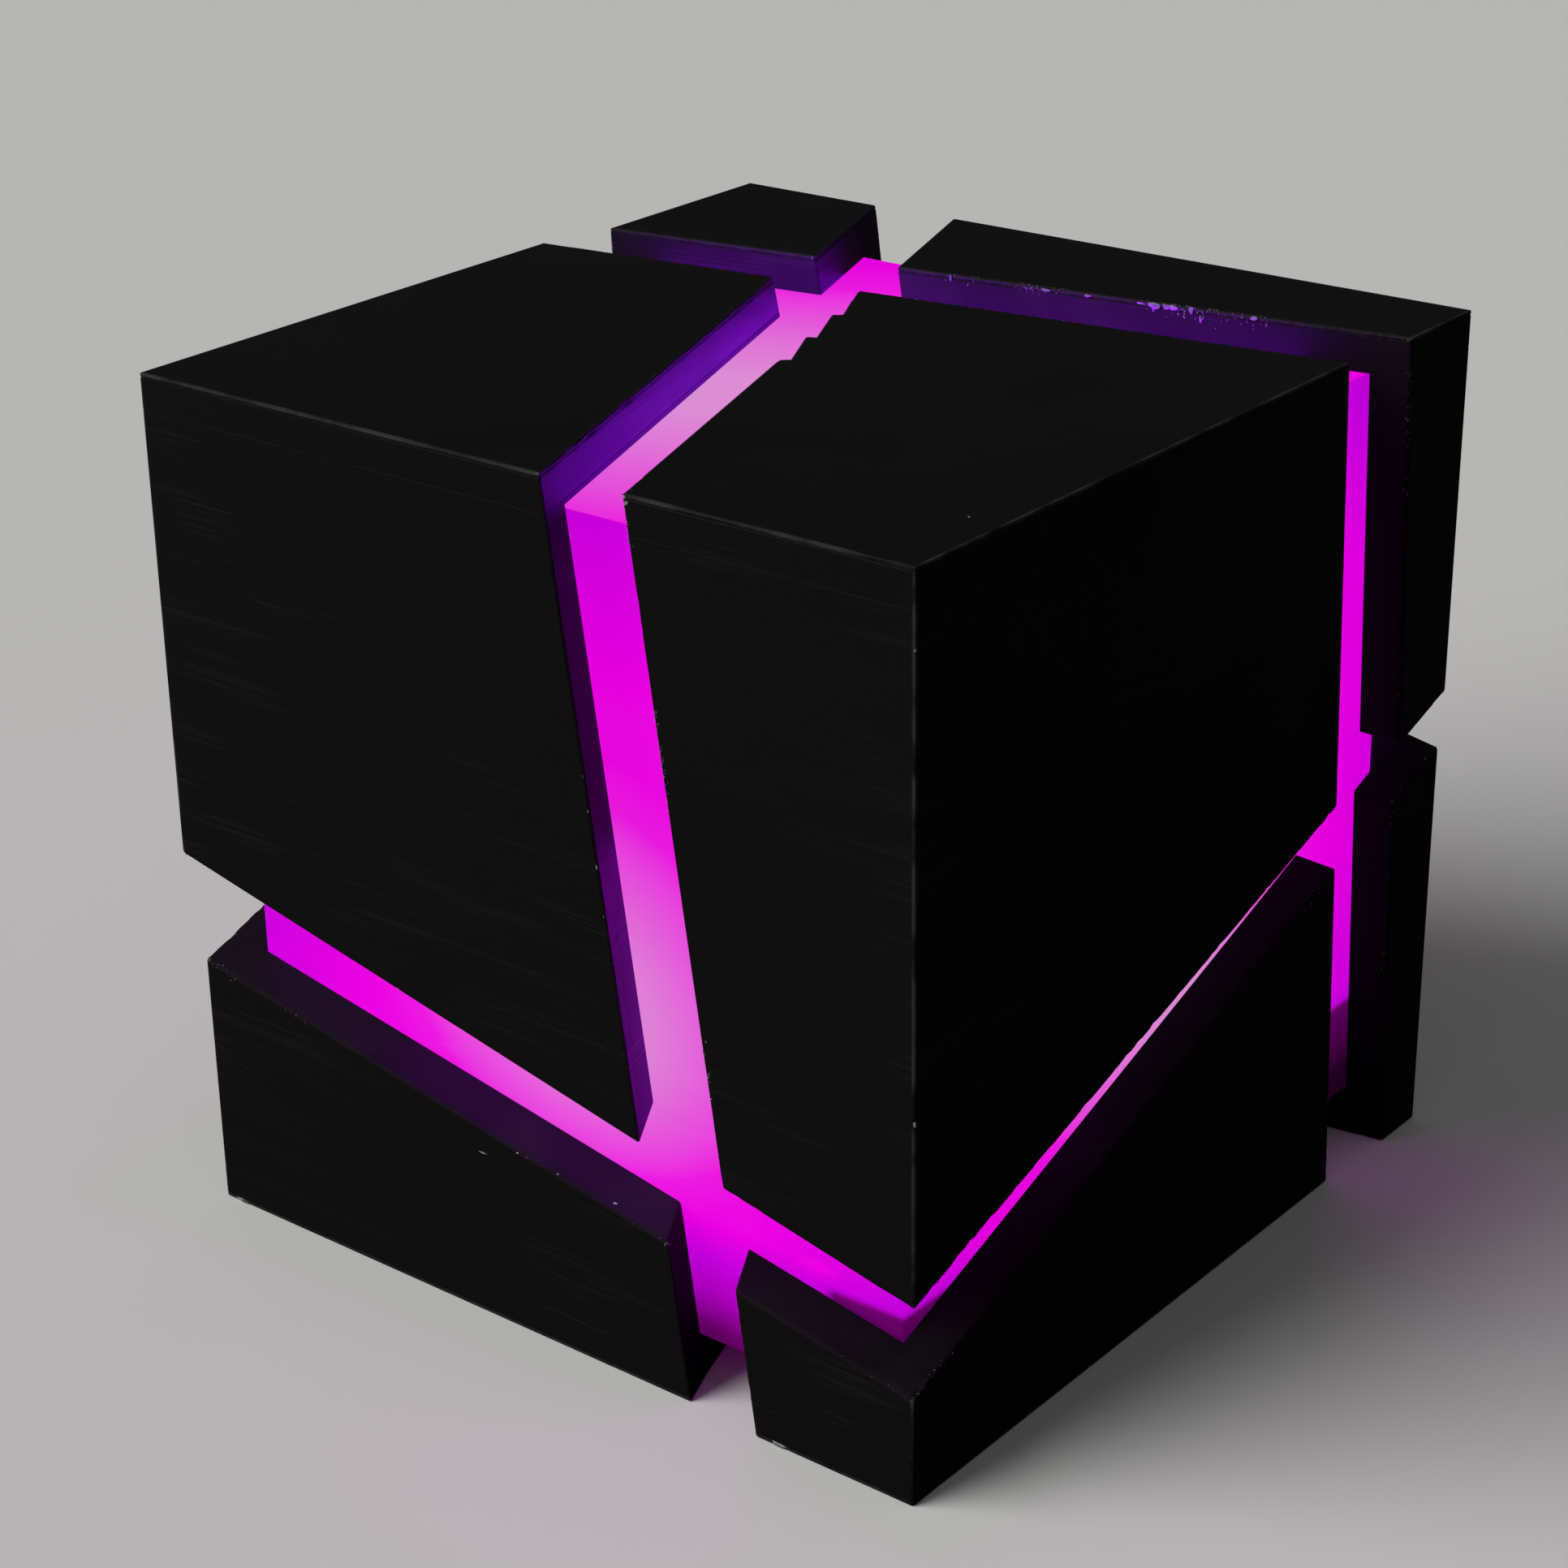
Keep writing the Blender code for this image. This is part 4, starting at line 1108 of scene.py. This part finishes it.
def make_button_cap(material):
    """The button's cap with a ring grooved into its tip."""
    bm = merged_copy("button_cap")
    tip = max(bm.faces, key=lambda face: (round(face.normal.y, 3), face.calc_center_median().y))
    for width, sink in ((0.9, 0.0), (0.12, -0.24), (0.36, 0.0), (0.12, 0.24)):
        bmesh.ops.inset_region(
            bm, faces=[tip], thickness=width * MM, depth=sink * MM, use_even_offset=True,
            use_boundary=True,
        )
    smooth_rounds(bm)
    finish_piece(bm, "grooved_button_cap", material, "button", ["button_cap"])


def smooth_rounds(bm):
    """Shades rounds smooth and keeps corners over 30 degrees crisp."""
    for face in bm.faces:
        face.smooth = True
    for edge in bm.edges:
        edge.smooth = edge.calc_face_angle(0.0) < math.radians(30)


# Lights and camera


def add_glow_light(name, way, place, tint, watts, size, height):
    """A light that hugs the core; it's a rectangle with a height, or else a disc."""
    data = bpy.data.lights.new(name, "AREA")
    data.shape = "RECTANGLE" if height else "DISK"
    data.size = size
    data.size_y = height or size
    data.energy = watts
    data.color = tint
    light = add_object(name, data)
    light.location = place
    light.rotation_mode = "QUATERNION"
    light.rotation_quaternion = way.to_track_quat("-Z", "Y")
    light.visible_camera = False
    return light


def build_floor(stage):
    """A plain pale floor that looks its colour and throws little light back."""
    finish = Finish("pale floor")
    finish.set("Base Color", stage.floor_colour)
    finish.set("Roughness", 0.9)
    finish.set("Specular IOR Level", 0.1)
    seen = finish.add("ShaderNodeLightPath", {}).outputs["Is Camera Ray"]
    dark = finish.add("ShaderNodeBsdfDiffuse", {"Color": (0.12, 0.12, 0.12, 1)}).outputs[0]
    both = finish.add("ShaderNodeMixShader", {0: seen, 1: dark, 2: finish.shader.outputs[0]})
    finish.feed(finish.tree.nodes["Material Output"].inputs["Surface"], both.outputs[0])
    bm = bmesh.new()
    bmesh.ops.create_grid(bm, x_segments=1, y_segments=1, size=FLOOR_HALF_SIZE)
    add_object("floor", mesh_from(bm, "floor", finish.material))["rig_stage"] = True


def build_lights(stage):
    """A broad soft key light and an even room."""
    data = bpy.data.lights.new("key light", "SUN")
    data.energy = stage.key_strength
    data.angle = KEY_SPREAD
    add_object("key light", data).rotation_euler = KEY_TURNS
    world = bpy.data.worlds.new("even room")
    world.use_nodes = True
    background = world.node_tree.nodes["Background"]
    background.inputs["Color"].default_value = (0.96, 0.97, 1.0, 1)
    background.inputs["Strength"].default_value = stage.room_strength
    bpy.context.scene.world = world


def build_camera(stage):
    data = bpy.data.cameras.new("camera")
    data.lens = stage.focal_length
    data.sensor_width = 36.0
    data.shift_x, data.shift_y = FRAME_SHIFT
    data.clip_start = 0.01
    camera = add_object("camera", data)
    level = math.cos(stage.elevation)
    sideways, forwards = -math.sin(stage.azimuth), math.cos(stage.azimuth)
    view = Vector((sideways * level, forwards * level, -math.sin(stage.elevation)))
    camera.location = LOOKED_AT - view * stage.distance
    camera.rotation_mode = "QUATERNION"
    roll = Quaternion((0, 0, 1), stage.roll)
    camera.rotation_quaternion = view.to_track_quat("-Z", "Y") @ roll
    bpy.context.scene.camera = camera


# Operators


class LAMP_OT_build_stage(bpy.types.Operator):
    """Builds the floor, the soft lights and the camera"""

    bl_idname = "lamp.build_stage"
    bl_label = "Build the Stage"

    def execute(self, context):
        context.scene.view_settings.view_transform = "Standard"
        for build in (build_floor, build_lights, build_camera):
            build(context.scene.lamp_stage)
        return {"FINISHED"}


class LAMP_OT_finish_shards(bpy.types.Operator):
    """Makes each black shard's frayed edges, scored layers and printed finish"""

    bl_idname = "lamp.finish_shards"
    bl_label = "Finish the Shards"

    def execute(self, context):
        printing = context.scene.lamp_print
        pale = tuple(printing.fleck_colour)
        white_flakes = make_crumb_material("stress-white flake", pale)
        grey_flakes = make_crumb_material("rubbed grey flake", [0.3 * part for part in pale])
        lines = (
            (FIRST_LAYER_LINE, printing.first_layer_groove),
            (SOLID_LAYER_LINE, printing.solid_layer_groove),
        )
        for shard in SHARDS:
            node = f"shard_{shard}"
            low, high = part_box(node)
            bed, up = (high.z, -1) if shard.startswith("upper") else (low.z, 1)
            bm = merged_copy(node)
            points = roughen_cut_edges(bm, shard, printing)
            for (rise, half_width), depth in lines:
                score_round(bm, bed + up * rise, half_width, depth)
            material = make_shard_material(shard, printing)
            surface = BVHTree.FromBMesh(bm)
            finish_piece(
                bm, f"printed_{shard}", material, f"{shard}_shard", [node]
            )
            flakes = grey_flakes if shard == "upper_right_back" else white_flakes
            make_crumbs(shard, points, surface, printing, flakes)
        return {"FINISHED"}


class LAMP_OT_finish_core(bpy.types.Operator):
    """Lights the milky core and its lid"""

    bl_idname = "lamp.finish_core"
    bl_label = "Finish the Core"

    def execute(self, context):
        dress_all(make_core_material(context.scene.lamp_glow), "core_diffuser", "core_base_lid")
        return {"FINISHED"}


class LAMP_OT_finish_magnets(bpy.types.Operator):
    """Gives the shards' magnets and their mates in the core a bright nickel plate"""

    bl_idname = "lamp.finish_magnets"
    bl_label = "Finish the Magnets"

    def execute(self, context):
        plate = make_metal("nickel plate", (0.66, 0.65, 0.62), 0.18, (420, 420, 420))
        dress_all(plate, "shard_magnet", "core_magnet")
        return {"FINISHED"}


class LAMP_OT_finish_screws(bpy.types.Operator):
    """Gives the screws their zinc plate"""

    bl_idname = "lamp.finish_screws"
    bl_label = "Finish the Screws"

    def execute(self, context):
        zinc = make_metal("zinc-plated steel", (0.42, 0.42, 0.43), 0.28, (260, 260, 2600))
        dress_all(zinc, "lid_screw", "post_screw", "board_screw")
        return {"FINISHED"}


class LAMP_OT_finish_light(bpy.types.Operator):
    """Gives the light post, the four strips and their diodes their finishes"""

    bl_idname = "lamp.finish_light"
    bl_label = "Finish the Light"

    def execute(self, context):
        dress_all(make_printed_white(), "light_post")
        dress_all(make_strip_material(), "light_strip")
        dress_all(make_diode_material(), "diode")
        return {"FINISHED"}


class LAMP_OT_finish_board(bpy.types.Operator):
    """Finishes the control board and makes its small parts"""

    bl_idname = "lamp.finish_board"
    bl_label = "Finish the Board"

    def execute(self, context):
        tin = make_metal("tinned legs", (0.70, 0.69, 0.67), 0.30, (900, 900, 900))
        can = make_metal("aluminium can", (0.72, 0.72, 0.73), 0.25, (500, 40, 500))
        dress_all(make_board_material(), "control_board")
        dress_all(make_plastic("chip plastic", (0.02, 0.02, 0.02), 0.45), "control_chip")
        dress_all(can, "smoothing_capacitor")
        make_chip_legs(tin)
        make_board_parts(make_plastic("resistor glaze", (0.015, 0.016, 0.02), 0.30), tin)
        return {"FINISHED"}


class LAMP_OT_finish_inlet(bpy.types.Operator):
    """Finishes the power inlet and makes the contacts on its tongue"""

    bl_idname = "lamp.finish_inlet"
    bl_label = "Finish the Inlet"

    def execute(self, context):
        plate = make_metal("inlet plate", (0.60, 0.60, 0.62), 0.24, (900, 60, 900))
        dress_all(plate, "power_inlet_shell")
        dress_all(make_plastic("inlet plastic", (0.03, 0.03, 0.03), 0.4), "power_inlet_tongue")
        make_inlet_contacts(make_metal("gold contact", (0.83, 0.62, 0.26), 0.22, (700, 90, 700)))
        return {"FINISHED"}


class LAMP_OT_finish_button(bpy.types.Operator):
    """Finishes the push button, its switch and its plunger"""

    bl_idname = "lamp.finish_button"
    bl_label = "Finish the Button"

    def execute(self, context):
        dress_all(make_plastic("switch plastic", (0.04, 0.04, 0.04), 0.5), "button_switch")
        make_button_cap(make_plastic("button plastic", (0.03, 0.03, 0.03), 0.42, specular=0.4))
        return {"FINISHED"}


class LAMP_OT_finish_lead(bpy.types.Operator):
    """Gives the light's lead its soft jacket"""

    bl_idname = "lamp.finish_lead"
    bl_label = "Finish the Lead"

    def execute(self, context):
        dress_all(make_plastic("lead jacket", (0.75, 0.75, 0.73), 0.5, scale=140.0), "light_lead")
        return {"FINISHED"}


class LAMP_OT_light_cut_faces(bpy.types.Operator):
    """Throws the core's violet light on the cut faces of the shards"""

    bl_idname = "lamp.light_cut_faces"
    bl_label = "Light the Cut Faces"

    def execute(self, context):
        glow = context.scene.lamp_glow
        off = bpy.data.collections.new("lit by the glow alone")
        for thing in bpy.data.objects:
            if thing.get("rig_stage"):
                off.objects.link(thing)
        for entry in off.collection_objects:
            entry.light_linking.link_state = "EXCLUDE"
        for name, (way, tint, broad, spot) in CORE_LIGHTS.items():
            way = Vector(way)
            face = CORE_MIDDLE + way * (CORE_HIGH.x + 0.15 * MM)
            face += Vector(TOP_LIGHT_SHIFT) * way.z
            inset = way.z * max(abs(part) for part in TOP_LIGHT_SHIFT)
            size = 2 * (CORE_HIGH.x - inset)
            above_foot = Vector((0, 0, 0.24 * CORE_MIDDLE.z * (1 - way.z)))
            at_diodes = Vector((0, 0, 0 if way.z else glow.spot_height - CORE_MIDDLE.z))
            lights = (
                ("broad", broad, face + above_foot, size, size - 2 * above_foot.z),
                ("spot", spot, face + at_diodes, 1.6 * glow.side_spot_radius, 0),
            )
            for kind, watts, place, across, height in lights:
                light = add_glow_light(
                    f"{name} {kind} glow", way, place, tint, watts * glow.wall_light, across,
                    height,
                )
                light.light_linking.receiver_collection = off
        return {"FINISHED"}


class LAMP_PT_panel(bpy.types.Panel):
    """Lists the steps of the lamp"""

    bl_label = "Fractured Cube Lamp"
    bl_idname = "LAMP_PT_panel"
    bl_space_type = "VIEW_3D"
    bl_region_type = "UI"
    bl_category = "Lamp"

    def draw(self, context):
        for operator in OPERATORS:
            self.layout.operator(operator.bl_idname)
        for settings in SETTINGS:
            group = getattr(context.scene, settings)
            box = self.layout.box()
            for name in group.__annotations__:
                box.prop(group, name)


OPERATORS = (
    LAMP_OT_build_stage,
    LAMP_OT_finish_shards,
    LAMP_OT_finish_core,
    LAMP_OT_finish_magnets,
    LAMP_OT_finish_screws,
    LAMP_OT_finish_light,
    LAMP_OT_finish_board,
    LAMP_OT_finish_inlet,
    LAMP_OT_finish_button,
    LAMP_OT_finish_lead,
    LAMP_OT_light_cut_faces,
)
SETTINGS = {
    "lamp_print": PrintSettings,
    "lamp_glow": GlowSettings,
    "lamp_stage": StageSettings,
}


def register():
    for cls in (*SETTINGS.values(), *OPERATORS, LAMP_PT_panel):
        bpy.utils.register_class(cls)
    for name, group in SETTINGS.items():
        setattr(bpy.types.Scene, name, PointerProperty(type=group))


def unregister():
    for name in SETTINGS:
        delattr(bpy.types.Scene, name)
    for cls in reversed((*SETTINGS.values(), *OPERATORS, LAMP_PT_panel)):
        bpy.utils.unregister_class(cls)


def main():
    register()
    for operator in OPERATORS:
        group, name = operator.bl_idname.split(".")
        getattr(getattr(bpy.ops, group), name)()


if __name__ == "__main__":
    main()
